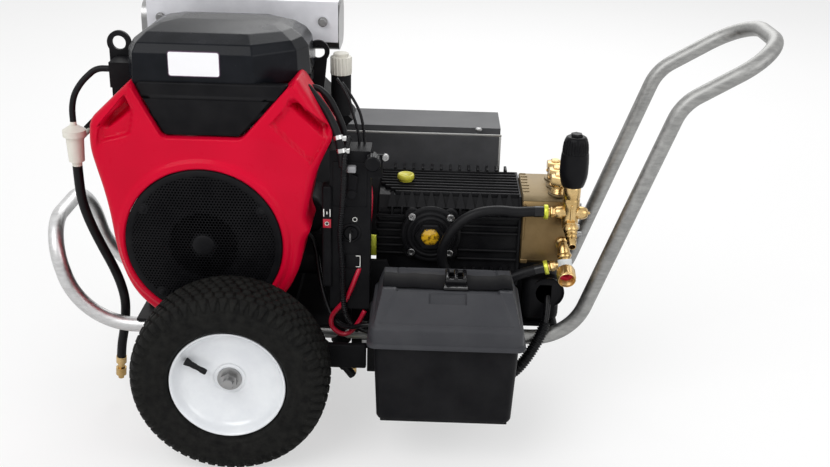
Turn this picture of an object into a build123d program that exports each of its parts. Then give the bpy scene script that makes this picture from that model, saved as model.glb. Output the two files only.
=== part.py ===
from build123d import *
import math
import os

# Belt-drive petrol pressure washer on a two-wheeled aluminium tube frame. Millimetres.
# The origin is on the floor under the middle of the machine, +X points to the push handle,
# -Y to the engine's fan side and +Z up. Heights are measured from the floor.

# ---- wheels and axle ----
tyre_d = 313.0
tyre_width = 104.0
tyre_wall = 9.0
tyre_bead_width = 80.0
rim_seat_d = 152.4
rim_flange_d = 181.0
rim_wall = 3.0
rim_dish = 14.0
hub_d = 46.0
hub_inner_reach = 40.0
hub_outer_reach = 17.5
wheel_track = 521.0
bearing_width = 12.0
bearing_wall = 8.0
axle_d = 16.0
axle_end = 9.0
axle_nut_af = 24.0
axle_nut_height = 8.0
axle_washer_d = 38.0
washer_thick = 3.0
spacer_wall = 4.0
running_gap = 0.05
seat_gap = 0.3

# ---- tube frame ----
tube_d = 25.4
tube_wall = 2.0
tube_pitch = 215.4
loop_lower_run = 283.0
loop_riser = 178.0
loop_lean = 13.5
loop_bend_r = 118.0
loop_corner_r = 73.0
loop_joint_reach = 150.0
handle_joint_reach = 402.0
handle_foot_reach = 547.7
handle_riser_run = 144.1
handle_riser_rise = 415.0
handle_arm_run = 149.2
handle_arm_rise = 90.6
handle_foot_r = 92.0
handle_knee_r = 76.0
handle_corner_r = 79.0
spigot_length = 72.0
loop_reach = loop_lower_run + loop_riser * math.sin(math.radians(loop_lean))
handle_reach = handle_foot_reach + handle_riser_run + handle_arm_run
axle_x = (loop_reach - handle_reach) / 2
axle_z = tyre_d / 2
rail_z = axle_z
rail_top = rail_z + tube_d / 2
wheel_y = wheel_track / 2

# ---- base plate, stand and pump riser ----
plate_thick = 5.0
plate_width = 240.0
plate_front_reach = 185.0
plate_rear_reach = 462.0
tongue_reach = 528.0
tongue_width = 184.0
plate_top = rail_top + plate_thick
plate_bolt_d = 8.0
plate_bolt_head = 5.5
plate_bolt_reaches = [96.0, 200.0, 340.0]
stand_reach = 370.0
stand_spread = 150.0
stand_tube_d = 25.4
stand_brace_d = 16.0
foot_d = 38.0
foot_height = 18.0
foot_socket = 9.0
riser_reach_near = 225.0
riser_reach_far = 455.0
riser_flange = 45.0
riser_thick = 5.0

# ---- engine ----
crank_offset = -50.0
crank_z = 342.0
case_near_y = -62.0
case_far_y = 132.0
case_half = 109.0
case_foot_half = 128.0
case_foot_height = 18.0
deck_reach = 95.0
case_wall = 9.0
crank_d = 30.0
crank_web_d = 120.0
crank_web_thick = 14.0
crank_end_y = 216.0
cylinder_bore_d = 78.0
cylinder_core_d = 96.0
cylinder_length = 118.0
fin_pitch = 11.0
fin_thick = 4.0
fin_width = 122.0
fin_depth = 84.0
cylinder_lean = 45.0
near_cylinder_y = -14.0
far_cylinder_y = 74.0
rocker_height = 44.0
rocker_width = 106.0
rocker_depth = 78.0

# ---- fan cover, grille and flywheel ----
cover_face_y = -181.0
cover_depth = 96.0
cover_wall = 3.0
cover_ring_d = 272.0
cover_ring_height = 5.0
grille_d = 249.0
grille_thick = 3.0
cover_boss_d = 12.0
grille_screw_d = 9.0
grille_screw_circle = 216.0
grille_screw_turns = [32, 148, 230, 310]
grille_rings = 6
flywheel_d = 200.0
flywheel_thick = 10.0
flywheel_y = -108.0
blade_count = 16
blade_height = 34.0
blade_depth = 38.0
blade_thick = 3.0

# ---- air cleaner, carburettor and muffler ----
cleaner_left = 165.0
cleaner_right = 110.0
cleaner_near_y = -160.0
cleaner_far_y = 40.0
cleaner_base_z = 572.0
cleaner_split_z = 585.0
cleaner_top_z = 681.0
cleaner_shoulder_z = 640.0
cleaner_wall = 3.0
tip_relief = 17.0
fuel_pump_reach = 200.0
fuel_pump_y = -88.0
fuel_pump_top_z = 612.0
element_d = 120.0
element_height = 54.0
carb_width = 70.0
carb_y = 4.0
carb_mouth_y = -13.0
element_y = -26.0
muffler_left = 195.0
muffler_right = 141.0
muffler_near_y = 82.0
muffler_far_y = 186.0
muffler_bottom_z = 592.0
muffler_top_z = 668.0
shield_gap = 20.0
pipe_d = 32.0
pipe_reach = 180.0
pipe_y = 150.0
pipe_bend_r = 30.0
shield_thick = 2.0
shield_left = 180.0
shield_right = 141.0
shield_top_z = 682.0
shield_bottom_z = 614.0

# ---- small engine pieces ----
filler_reach = 148.0
filler_y = 42.0
filler_neck = 86.0
filler_d = 34.0
filler_top_z = 582.0
oil_cap_d = 38.0
oil_cap_height = 20.0
oil_cap_stem_d = 20.0
oil_cap_stem = 16.0
oil_cap_lift = 60.0
oil_filter_d = 68.0
oil_filter_length = 70.0
oil_filter_y = -28.0
oil_filter_z = 262.0
starter_d = 72.0
starter_length = 84.0
starter_z = 345.0
starter_y = -56.0
eye_thick = 6.0
eye_d = 38.0
eye_hole_d = 22.0
left_eye_reach = -195.0
left_eye_z = 632.0
right_eye_reach = 111.0
right_eye_z = 606.0

# ---- control panel ----
panel_reach = 146.0
panel_width = 64.0
panel_near_y = -152.0
panel_depth = 46.0
panel_bottom_z = 222.0
panel_top_z = 494.0
panel_wall = 2.5
throttle_reach = 181.0
throttle_z = 425.0
throttle_arm = 42.0
throttle_sweep = 50.0
choke_reach = 214.0
choke_z = 470.0
choke_d = 26.0
choke_length = 22.0
choke_stem_d = 8.0
choke_travel = 22.0
key_reach = 180.0
key_z = 357.0
key_d = 22.0
key_start_turn = 90.0

# ---- fuel line side ----
fuel_filter_reach = -267.0
fuel_filter_y = -100.0
fuel_filter_bottom_z = 446.0
fuel_filter_height = 60.0
fuel_filter_d = 31.0
fuel_line_d = 10.0
supply_hose_d = 16.0
supply_fitting_d = 14.0

# ---- belt drive and guard ----
shaft_z = 335.0
pump_shaft_reach = 306.0
engine_pulley_d = 79.0
pump_pulley_d = 185.0
pulley_y = 168.0
pulley_width = 36.0
groove_pitch = 16.0
groove_width = 10.0
groove_depth = 9.0
belt_thick = 7.0
guard_far_y = 236.0
guard_left_reach = -112.0
guard_right_reach = 428.0
guard_top_z = 450.0
guard_bottom_z = 232.0
guard_wall = 2.0
guard_wheel_reach = 176.0
guard_wheel_y = 205.0
guard_wheel_z = 322.0
guard_shaft_gap = 6.0
guard_stay_reach = 55.0
guard_stay_rise = 30.0
guard_stay_drop = 40.0
guard_stay_d = 12.0
guard_boss_d = 16.0

# ---- pump ----
pump_left_reach = 216.0
pump_case_length = 242.0
pump_near_y = -72.0
pump_far_y = 98.0
pump_base_z = 232.0
pump_case_top_z = 392.0
pump_rib_height = 7.0
pump_rib_thick = 4.5
pump_shoulder = 16.0
pump_shoulder_ribs = 11
pump_shoulder_pitch = 21.0
pump_ridge_pitch = 15.0
pump_ridge_inset = 14.0
pump_fin_low_z = 254.0
pump_fin_pitch = 17.0
pump_fin_count = 6
pump_shaft_d = 28.0
pump_bore_wall = 12.0
cover_plate_size = 92.0
cover_seat_d = 88.0
cover_plate_thick = 13.0
cover_bolt_pitch = 65.0
cover_bolt_d = 8.0
cover_bolt_head_d = 13.0
sight_glass_d = 28.0
dipstick_reach = 262.0
dipstick_y = 4.0
dipstick_cap_d = 28.0
dipstick_cap_height = 15.0
dipstick_d = 5.0
dipstick_length = 90.0
dipstick_lift = 110.0
head_length = 80.0
head_near_y = -76.0
head_far_y = 50.0
head_bottom_z = 278.0
head_top_z = 396.0
plunger_d = 20.0
plunger_pitch = 36.0
plunger_length = 80.0
plunger_reach = 46.0
plunger_z = 335.0
valve_cap_af = 28.0
valve_cap_height = 20.0
valve_cap_neck_d = 24.0
valve_cap_neck = 16.0
valve_cap_inset = 20.0

# ---- unloader, outlet and inlet ----
unloader_reach = 534.0
unloader_y = -96.0
unloader_body_d = 28.0
unloader_bottom_z = 350.0
unloader_top_z = 428.0
unloader_stem = 60.0
unloader_stem_d = 14.0
unloader_knob_d = 46.0
unloader_knob_height = 88.0
unloader_knob_outline = [
    (-5, 0), (-1, 14), (0, 24), (0, 34), (-0.8, 52), (-2.8, 66), (-3.5, 74), (-6, 82.5), (-13.7, 83.5),
]
unloader_flutes = 12
unloader_flute_d = 4.0
unloader_flute_low = 60.0
unloader_flute_high = 73.0
unloader_turn = 1080.0
arm_z = 381.0
arm_d = 20.0
arm_left = 25.0
arm_right = 29.0
arm_back = 8.0
outlet_z = 366.0
outlet_slope = 22.0
outlet_collar_d = 25.0
outlet_collar_length = 20.0
outlet_neck_d = 18.0
outlet_neck_end = 25.0
outlet_plug_d = 11.9
outlet_plug_end = 60.0
inlet_port = (528.0, 318.0)
inlet_bend = (528.0, -88.0, 318.0)
inlet_reach = 532.0
inlet_y = -104.0
inlet_z = 287.0
inlet_slope = 14.0
inlet_stub_d = 19.0
inlet_pipe_d = 21.0
inlet_run_d = 18.0
inlet_pipe_run = 16.0
inlet_nut_d = 31.0
inlet_nut_length = 20.0
inlet_bore_d = 26.0
bypass_hose_d = 17.0
ferrule_d = 24.0
ferrule_width = 6.5
hose_nut_af = 15.0
hose_nut_length = 11.5
nipple_d = 9.0
nipple_length = 30.0

# ---- battery case ----
battery_x_reach = 336.0
battery_y = -208.0
tray_left_reach = 142.0
tray_z = 92.0
tray_thick = 3.0
tray_lip = 12.0
case_bottom_w = 212.0
case_top_w = 226.0
case_bottom_d = 158.0
case_top_d = 166.0
case_bottom_z = tray_z + tray_thick
battery_case_wall = 4.0
battery_w = 190.0
battery_d = 128.0
battery_h = 158.0
terminal_d = 12.0
terminal_h = 12.0
lid_w = 238.0
lid_d = 178.0
lid_bottom_z = 226.0
lid_skirt_z = 262.0
lid_shelf_x = 14.0
lid_shelf_y = 8.0
lid_top_z = 301.0
lid_plateau_w = 206.0
lid_plateau_d = 66.0
lid_plateau_shift = 4.0
lid_wall = 3.0
case_rim_z = lid_skirt_z - lid_wall - seat_gap
lid_lift = 150.0
strap_width = 38.0
strap_thick = 2.0
buckle_length = 48.0
buckle_width = 34.0
buckle_height = 9.0

# ---- wiring ----
drain_rise = 21.8
loom_d = 19.0
lead_d = 9.0
relay_reach = 472.0
relay_length = 56.0
relay_near_y = -92.0
relay_depth = 46.0
relay_height = 74.0
relay_round = 15.0


# ---- shared shape helpers ----
def block(x, y, z):
    """Box given by its (low, high) pair on each axis."""
    size = [high - low for low, high in (x, y, z)]
    middle = [(low + high) / 2 for low, high in (x, y, z)]
    return Pos(*middle) * Box(*size)


def rod(start, end, diameter):
    """Cylinder between two points."""
    line = Vector(*end) - Vector(*start)
    plane = Plane(origin=start, z_dir=line)
    return plane * Cylinder(diameter / 2, line.length, align=(Align.CENTER, Align.CENTER, Align.MIN))


def ring(start, end, outer_d, inner_d):
    """Tube section between two points."""
    return rod(start, end, outer_d) - rod(start, end, inner_d)


def hex_bar(start, end, across_flats):
    """Hexagonal bar between two points."""
    line = Vector(*end) - Vector(*start)
    plane = Plane(origin=start, z_dir=line)
    return extrude(plane * RegularPolygon(across_flats / math.sqrt(3), 6), line.length)


def plate_xz(points, near_y, far_y):
    """Flat plate with an outline of (x, z) points, between two y planes."""
    wire = Polyline(*[(x, near_y, z) for x, z in points], close=True)
    return extrude(make_face(wire), far_y - near_y, dir=(0, 1, 0))


def plate_yz(points, left_x, thick):
    """Flat plate with an outline of (y, z) points, standing across the x axis."""
    wire = Polyline(*[(left_x, y, z) for y, z in points], close=True)
    return extrude(make_face(wire), thick, dir=(1, 0, 0))


def turned(points, origin, direction):
    """Solid of revolution: (radius, height) outline turned about a line."""
    face = make_face(Polyline(*[(r, 0, h) for r, h in points], close=True))
    return Plane(origin=origin, z_dir=direction) * revolve(face, Axis.Z)


def bent_tube(points, radii, outer_d, inner_d=0.0):
    """Round bar or tube along straight runs joined by arcs."""
    path = FilletPolyline(*points, radius=radii) if radii else Polyline(*points)
    section = Circle(outer_d / 2)
    if inner_d:
        section -= Circle(inner_d / 2)
    return sweep(Plane(origin=path @ 0, z_dir=path % 0) * section, path=path)


def free_radii(points):
    """Largest tangent arcs that each corner of a flexible line has room for."""
    radii = []
    for before, corner, after in zip(points, points[1:], points[2:]):
        run_in = Vector(*corner) - Vector(*before)
        run_out = Vector(*after) - Vector(*corner)
        turn = math.radians(run_in.get_angle(run_out))
        radii.append(0.45 * min(run_in.length, run_out.length) / math.tan(turn / 2))
    return radii


def flexible(name, points, diameter):
    """Hose or cable along a chosen route, with its tightest bend and its length printed."""
    radii = free_radii(points)
    solid = bent_tube(points, radii, diameter)
    length = FilletPolyline(*points, radius=radii).length
    share = solid.volume / (math.pi * diameter ** 2 / 4 * length)
    print(f"{name}: length {length:.0f} volume share {share:.4f} radii", [round(r) for r in radii])
    return solid


def save(name, *solids):
    """One STEP file for one node."""
    pieces = []
    for shape in solids:
        pieces += list(shape.solids())
    whole = Compound(children=pieces)
    whole.label = name
    export_step(whole, f"parts/{name}.step")


# ---- tube frame ----
tube_bore = tube_d - 2 * tube_wall
rail_y = tube_pitch / 2


def frame_loop(side_points, radii):
    """Tube bent to a U from one side's points, with the other side mirrored."""
    near = [(x, -rail_y, z) for x, z in side_points]
    far = [(x, rail_y, z) for x, z in reversed(side_points)]
    return bent_tube(near + far, radii + radii[::-1], tube_d, tube_bore)


def front_loop_tube():
    lean = math.radians(loop_lean)
    foot_x = axle_x - loop_lower_run
    tip = (foot_x - loop_riser * math.sin(lean), rail_z + loop_riser * math.cos(lean))
    side = [(axle_x - loop_joint_reach, rail_z), (foot_x, rail_z), tip]
    return frame_loop(side, [loop_bend_r, loop_corner_r])


def handle_tube():
    foot = (axle_x + handle_foot_reach, rail_z)
    knee = (foot[0] + handle_riser_run, foot[1] + handle_riser_rise)
    end = (knee[0] + handle_arm_run, knee[1] + handle_arm_rise)
    side = [(axle_x + handle_joint_reach, rail_z), foot, knee, end]
    return frame_loop(side, [handle_foot_r, handle_knee_r, handle_corner_r])


def plate_bolt_places():
    return [(axle_x + reach, side * rail_y) for reach in plate_bolt_reaches for side in (-1, 1)]


def side_rail(side):
    start = (axle_x - loop_joint_reach, side * rail_y, rail_z)
    end = (axle_x + handle_joint_reach, side * rail_y, rail_z)
    rail = ring(start, end, tube_d, tube_bore)
    reach = (side * (rail_y - tube_d), side * (rail_y + tube_d))
    rail -= rod((axle_x, reach[0], axle_z), (axle_x, reach[1], axle_z), axle_d + 2 * running_gap)
    for x, y in plate_bolt_places():
        if y * side > 0:
            rail -= rod((x, y, rail_z - tube_d), (x, y, rail_z + tube_d), plate_bolt_d + 2 * seat_gap)
    return rail


def spigots():
    """Short bars inside the tube joints."""
    bars = []
    for joint in (axle_x - loop_joint_reach, axle_x + handle_joint_reach):
        for side in (-1, 1):
            start = (joint - spigot_length / 2, side * rail_y, rail_z)
            end = (joint + spigot_length / 2, side * rail_y, rail_z)
            bars.append(rod(start, end, tube_bore - 2 * running_gap))
    return bars


def plate_bolts():
    """Bolt through the plate and the rail, with its washer-faced nut below."""
    bolts = []
    for x, y in plate_bolt_places():
        low = rail_z - tube_d / 2
        bolt = rod((x, y, low - plate_bolt_d), (x, y, plate_top), plate_bolt_d)
        bolt += hex_bar((x, y, plate_top), (x, y, plate_top + plate_bolt_head), plate_bolt_d * 1.6)
        nut = hex_bar((x, y, low - plate_bolt_head), (x, y, low), plate_bolt_d * 1.6)
        bolts += [bolt, nut - rod((x, y, low - tube_d), (x, y, low), plate_bolt_d)]
    return bolts


def base_plate():
    spread = plate_width / 2
    plate = block(
        (axle_x - plate_front_reach, axle_x + plate_rear_reach),
        (-spread, spread),
        (rail_top, plate_top),
    )
    plate += block(
        (axle_x + plate_rear_reach, axle_x + tongue_reach),
        (-tongue_width / 2, tongue_width / 2),
        (rail_top, plate_top),
    )
    for x, y in plate_bolt_places():
        plate -= rod((x, y, rail_top), (x, y, plate_top), plate_bolt_d + 2 * seat_gap)
    return plate


def stand_legs():
    """Two legs under the plate with a brace between them."""
    x = axle_x + stand_reach
    legs = [
        rod((x, side * stand_spread / 2, foot_height - foot_socket), (x, side * stand_spread / 2, rail_top),
            stand_tube_d)
        for side in (-1, 1)
    ]
    brace_z = (foot_height + rail_z) / 2
    brace = rod((x, -stand_spread / 2, brace_z), (x, stand_spread / 2, brace_z), stand_brace_d)
    return legs[0] + legs[1] + brace


def stand_feet():
    x = axle_x + stand_reach
    feet = []
    for side in (-1, 1):
        y = side * stand_spread / 2
        foot = rod((x, y, 0), (x, y, foot_height), foot_d)
        feet.append(foot - rod((x, y, foot_height - foot_socket), (x, y, foot_height), stand_tube_d))
    return feet


def pump_risers():
    """Two folded channels along X that lift the pump off the plate."""
    risers = []
    for near_y in (pump_near_y + 6, pump_far_y - 6 - riser_flange):
        outer = block(
            (axle_x + riser_reach_near, axle_x + riser_reach_far),
            (near_y, near_y + riser_flange),
            (plate_top, pump_base_z),
        )
        inner = block(
            (axle_x + riser_reach_near, axle_x + riser_reach_far),
            (near_y + riser_thick, near_y + riser_flange - riser_thick),
            (plate_top, pump_base_z - riser_thick),
        )
        risers.append(outer - inner)
    return risers


# ---- axle and wheels ----
hub_outer_y = wheel_y + hub_outer_reach
hub_inner_y = wheel_y - hub_inner_reach
axle_nut_y = hub_outer_y + seat_gap + washer_thick


def axle():
    end = axle_nut_y + axle_nut_height + axle_end
    return rod((axle_x, -end, axle_z), (axle_x, end, axle_z), axle_d)


def axle_hardware():
    """Spacer, washer and nut on each side, all threaded over the axle."""
    pieces = []
    bore = axle_d + 2 * running_gap
    for side in (-1, 1):
        rail_face = (axle_x, side * (rail_y + tube_d / 2), axle_z)
        hub_inner = (axle_x, side * (hub_inner_y - seat_gap), axle_z)
        hub_outer = (axle_x, side * (hub_outer_y + seat_gap), axle_z)
        nut_inner = (axle_x, side * axle_nut_y, axle_z)
        nut_outer = (axle_x, side * (axle_nut_y + axle_nut_height), axle_z)
        pieces.append(ring(rail_face, hub_inner, bore + 2 * spacer_wall, bore))
        pieces.append(ring(hub_outer, nut_inner, axle_washer_d, bore))
        pieces.append(hex_bar(nut_inner, nut_outer, axle_nut_af) - rod(nut_inner, nut_outer, axle_d))
    return pieces


def tyre(side):
    """Hollow pneumatic tyre, open at the beads."""
    tread_r = tyre_d / 2
    bead_r = rim_seat_d / 2 + running_gap
    half = tyre_width / 2
    bead = tyre_bead_width / 2
    flange_r = rim_flange_d / 2
    seat_half = bead - seat_gap
    outer = [
        (bead_r, seat_half), (flange_r + 1, seat_half), (flange_r + 6, half - 5), (flange_r + 16, half),
        (tread_r - 24, half), (tread_r - 12, half - 5), (tread_r - 4, half - 13), (tread_r, half - 28),
    ]
    inner = [
        (tread_r - tyre_wall, half - 30), (tread_r - tyre_wall - 10, half - 16),
        (flange_r + 14, half - tyre_wall), (bead_r + 8, seat_half - tyre_wall),
        (bead_r, seat_half - tyre_wall),
    ]
    outer_back = [(r, -w) for r, w in reversed(outer)]
    inner_back = [(r, -w) for r, w in reversed(inner)]
    outline = outer + outer_back + inner_back + inner
    centre = (axle_x, side * wheel_y, axle_z)
    return turned(outline, centre, (0, side, 0))


def wheel_rim(side):
    """Dished steel rim with its hub tube, and the two bearings pressed in the hub."""
    flange_r = rim_flange_d / 2
    seat_r = rim_seat_d / 2
    hub_r = hub_d / 2
    bearing_r = axle_d / 2 + running_gap + bearing_wall
    bead = tyre_bead_width / 2
    lip = bead + rim_wall
    dish = rim_dish
    outline = [
        (bearing_r, -hub_inner_reach), (hub_r, -hub_inner_reach), (hub_r, dish - 10),
        (hub_r + 20, dish), (seat_r - 18, dish), (seat_r - rim_wall, dish - 10),
        (seat_r - rim_wall, -lip), (flange_r, -lip), (flange_r, -bead), (seat_r, -bead),
        (seat_r, bead), (flange_r, bead), (flange_r, lip), (seat_r - rim_wall, lip),
        (seat_r - rim_wall, dish - 10 + rim_wall), (seat_r - 18, dish + rim_wall),
        (hub_r + 20, dish + rim_wall), (hub_r, dish - 10 + rim_wall + 4),
        (hub_r, hub_outer_reach), (bearing_r, hub_outer_reach),
    ]
    centre = (axle_x, side * wheel_y, axle_z)
    pieces = [turned(outline, centre, (0, side, 0))]
    for start in (-hub_inner_reach, hub_outer_reach - bearing_width):
        low = (axle_x, side * (wheel_y + start), axle_z)
        high = (axle_x, side * (wheel_y + start + bearing_width), axle_z)
        pieces.append(ring(low, high, 2 * bearing_r, axle_d + 2 * running_gap))
    return pieces


# ---- engine block ----
crank_x = axle_x + crank_offset


def case_outline(inset):
    """Crankcase outline about the crank: flat decks for the two cylinders, feet left out."""
    along = math.radians(cylinder_lean)
    deck = deck_reach - inset
    side = case_half - inset
    deck_top = deck / math.sin(along) - side
    floor = plate_top + inset - crank_z
    return [
        (crank_x + x, crank_z + z)
        for x, z in ((-side, floor), (side, floor), (side, deck_top), (deck_top, side),
                     (-deck_top, side), (-side, deck_top))
    ]


def engine_crankcase():
    """Hollow case with its feet, shaft bores and cylinder openings."""
    case = plate_xz(case_outline(0), case_near_y, case_far_y)
    case += block(
        (crank_x - case_foot_half, crank_x + case_foot_half),
        (case_near_y, case_far_y),
        (plate_top, plate_top + case_foot_height),
    )
    case -= plate_xz(case_outline(case_wall), case_near_y + case_wall, case_far_y - case_wall)
    case -= rod((crank_x, case_near_y, crank_z), (crank_x, case_far_y, crank_z), crank_d + 2 * running_gap)
    for side, y in ((-1, near_cylinder_y), (1, far_cylinder_y)):
        case -= cylinder_rod(side, y, deck_reach / 2, deck_reach, cylinder_bore_d)
    return case


def cylinder_point(side, y, reach):
    """Place on a cylinder's axis, at a distance from the crank."""
    lean = math.radians(cylinder_lean)
    return (crank_x + side * reach * math.sin(lean), y, crank_z + reach * math.cos(lean))


def cylinder_rod(side, y, low, high, diameter):
    return rod(cylinder_point(side, y, low), cylinder_point(side, y, high), diameter)


def cylinder_slab(side, y, low, high, width, depth):
    """Square slab across a cylinder's axis."""
    base = Plane(origin=cylinder_point(side, y, low), x_dir=(0, 1, 0),
                 z_dir=Vector(*cylinder_point(side, y, high)) - Vector(*cylinder_point(side, y, low)))
    return extrude(base * RectangleRounded(depth, width, 10), high - low)


def cylinder(side, y):
    """Finned barrel and head with an open bore."""
    top = deck_reach + cylinder_length
    barrel = cylinder_rod(side, y, deck_reach, top, min(cylinder_core_d, fin_depth))
    count = int(cylinder_length / fin_pitch)
    for index in range(count):
        low = deck_reach + fin_pitch * (index + 0.5)
        barrel += cylinder_slab(side, y, low, low + fin_thick, fin_width, fin_depth)
    barrel += cylinder_slab(side, y, top - fin_pitch, top, rocker_width, fin_depth)
    return barrel - cylinder_rod(side, y, deck_reach, top - fin_pitch, cylinder_bore_d)


def rocker_cover(side, y):
    top = deck_reach + cylinder_length
    return cylinder_slab(side, y, top, top + rocker_height, rocker_width, rocker_depth)


def crankshaft():
    """Shaft with two webs and a throw inside the case, and the long drive end."""
    shaft = rod((crank_x, flywheel_y - flywheel_thick, crank_z), (crank_x, crank_end_y, crank_z), crank_d)
    inner_near = case_near_y + case_wall
    inner_far = case_far_y - case_wall
    for y in (inner_near + crank_web_thick, inner_far - 2 * crank_web_thick):
        shaft += rod((crank_x, y, crank_z), (crank_x, y + crank_web_thick, crank_z), crank_web_d)
    return shaft


def flywheel_fan():
    """Flywheel disc with radial fan blades on its near face."""
    near = flywheel_y - flywheel_thick
    disc = rod((crank_x, near, crank_z), (crank_x, flywheel_y, crank_z), flywheel_d)
    for index in range(blade_count):
        inner = flywheel_d / 2 - blade_depth
        blade = block((inner, flywheel_d / 2 - 2), (near - blade_height, near), (-blade_thick / 2, blade_thick / 2))
        disc += Pos(crank_x, 0, crank_z) * Rot(0, 360 / blade_count * index, 0) * blade
    return disc - rod((crank_x, near, crank_z), (crank_x, flywheel_y, crank_z), crank_d)


# ---- fan cover ----
def fan_cover_outline():
    """Shield-shaped outline about the crank: two raised shoulders with a notch between."""
    points = [
        (-103, 258), (-168, 196), (-172, 152), (-150, 60), (-142, -30), (-120, -92),
        (-78, -132), (-26, -152), (26, -152), (80, -128), (128, -88), (150, -40),
        (160, 31), (176, 121), (204, 178), (148, 268), (64, 173), (-58, 173),
    ]
    return [(crank_x + x, crank_z + z) for x, z in points]


def fan_cover():
    """Thin shell, open at the back, with a raised ring around the grille."""
    far = cover_face_y + cover_depth
    wire = Polyline(*[(x, cover_face_y, z) for x, z in fan_cover_outline()], close=True)
    face = make_face(wire)
    shell = extrude(face, cover_depth, dir=(0, 1, 0))
    cavity_face = offset(face, -cover_wall, kind=Kind.INTERSECTION)
    shell -= Pos(0, cover_wall, 0) * extrude(cavity_face, cover_depth, dir=(0, 1, 0))
    front = (crank_x, cover_face_y - cover_ring_height, crank_z)
    back = (crank_x, cover_face_y + cover_wall, crank_z)
    shell += rod(front, back, cover_ring_d)
    case_face = case_near_y
    near_fins = near_cylinder_y - fin_depth / 2
    far_fins = far_cylinder_y - fin_depth / 2
    post = 150 * math.sin(math.radians(cylinder_lean))
    for x, z, reach in ((-82, -96, case_face), (82, -96, case_face), (-post, post, near_fins), (post, post, far_fins)):
        start = (crank_x + x, cover_face_y, crank_z + z)
        shell += rod(start, (start[0], reach, start[2]), cover_boss_d)
    shell -= rod(front, (crank_x, far, crank_z), grille_d + 2 * seat_gap)
    return shell - block(
        (axle_x - fuel_pump_reach - 3, axle_x + cleaner_right + tip_relief), (cleaner_near_y - 3, far),
        (cleaner_base_z - 3, cleaner_top_z),
    )


def intake_grille():
    """Perforated disc screwed inside the cover's ring."""
    near = cover_face_y - cover_ring_height
    disc = rod((crank_x, near, crank_z), (crank_x, near + grille_thick, crank_z), grille_d)
    slots = Sketch()
    for index in range(1, grille_rings):
        radius = grille_d / 2 * (index + 0.3) / grille_rings
        span = 360 / 8 - 900 / radius
        for turn in range(8):
            arc = CenterArc((0, 0), radius, turn * 45 + 5 * index, span)
            slots += SlotArc(arc, 7)
    plane = Plane(origin=(crank_x, near, crank_z), x_dir=(1, 0, 0), z_dir=(0, -1, 0))
    disc -= extrude(plane * slots, grille_thick, both=True)
    pieces = [disc]
    for turn in grille_screw_turns:
        x = crank_x + grille_screw_circle / 2 * math.cos(math.radians(turn))
        z = crank_z + grille_screw_circle / 2 * math.sin(math.radians(turn))
        pieces.append(rod((x, near - 3, z), (x, near, z), grille_screw_d))
    return pieces


# ---- air cleaner and carburettor ----
def cleaner_plan(inset, chamfer, z, near_y, far_y, left, right):
    """Rectangle with cut corners at one height."""
    x0 = axle_x - left + inset
    x1 = axle_x + right - inset
    y0 = near_y + inset
    y1 = far_y - inset
    cut = chamfer - inset * 0.6
    points = [
        (x0 + cut, y0), (x1 - cut, y0), (x1, y0 + cut), (x1, y1 - cut),
        (x1 - cut, y1), (x0 + cut, y1), (x0, y1 - cut), (x0, y0 + cut),
    ]
    return make_face(Polyline(*[(x, y, z) for x, y in points], close=True))


def cleaner_form(inset):
    """Upright sides, then a lid that slopes in from every side."""
    side = (cleaner_near_y, cleaner_far_y, cleaner_left, cleaner_right)
    low = cleaner_plan(inset, 42, cleaner_split_z, *side)
    shoulder = cleaner_plan(inset, 42, cleaner_shoulder_z, *side)
    top_side = (cleaner_near_y + 62, cleaner_far_y - 22, cleaner_left - 34, cleaner_right - 32)
    top = cleaner_plan(inset, 30, cleaner_top_z - inset, *top_side)
    return extrude(low, cleaner_shoulder_z - cleaner_split_z, dir=(0, 0, 1)) + loft([shoulder, top])


def air_cleaner_cover():
    return cleaner_form(0) - cleaner_form(cleaner_wall)


def air_cleaner_base():
    """Tray under the cover, with the fuel pump on its end and the panel that fills the cover's notch."""
    side = (cleaner_near_y, cleaner_far_y, cleaner_left, cleaner_right)
    tray = extrude(cleaner_plan(3, 42, cleaner_base_z, *side), cleaner_split_z - cleaner_base_z, dir=(0, 0, 1))
    low_z = crank_z + 173 + 3
    notch = [(-53, low_z), (59, low_z), (107, cleaner_base_z + 1), (-84, cleaner_base_z + 1)]
    points = [(crank_x + x, z) for x, z in notch]
    tray += plate_xz(points, cleaner_near_y - 10, cleaner_near_y + 8)
    tray += block(
        (axle_x - fuel_pump_reach, axle_x - cleaner_left - 2), (fuel_pump_y - 22, fuel_pump_y + 22),
        (cleaner_base_z, fuel_pump_top_z),
    )
    tray += block(
        (axle_x - cleaner_left - 2, axle_x - cleaner_left + 5), (fuel_pump_y - 22, fuel_pump_y + 22),
        (cleaner_base_z, cleaner_split_z),
    )
    mouth = (crank_x, carb_mouth_y, cleaner_base_z)
    return tray - rod(mouth, (crank_x, carb_mouth_y, cleaner_split_z), carb_width / 2)


def filter_element():
    """Ring of pleated paper, standing on the tray."""
    middle = (crank_x, element_y, cleaner_split_z)
    top = (middle[0], middle[1], middle[2] + element_height)
    return ring(middle, top, element_d, element_d * 0.55)


def carburettor():
    """Manifold in the valley between the cylinders and the carburettor body on it."""
    valley = crank_z + case_half
    body_z = crank_z + case_half + 70
    half = carb_width / 2
    shape = rod((crank_x, carb_y, valley), (crank_x, carb_y, body_z), carb_width * 0.6)
    shape += block(
        (crank_x - half, crank_x + half), (carb_y - half, carb_y + half), (body_z, cleaner_base_z)
    )
    return shape


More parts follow.
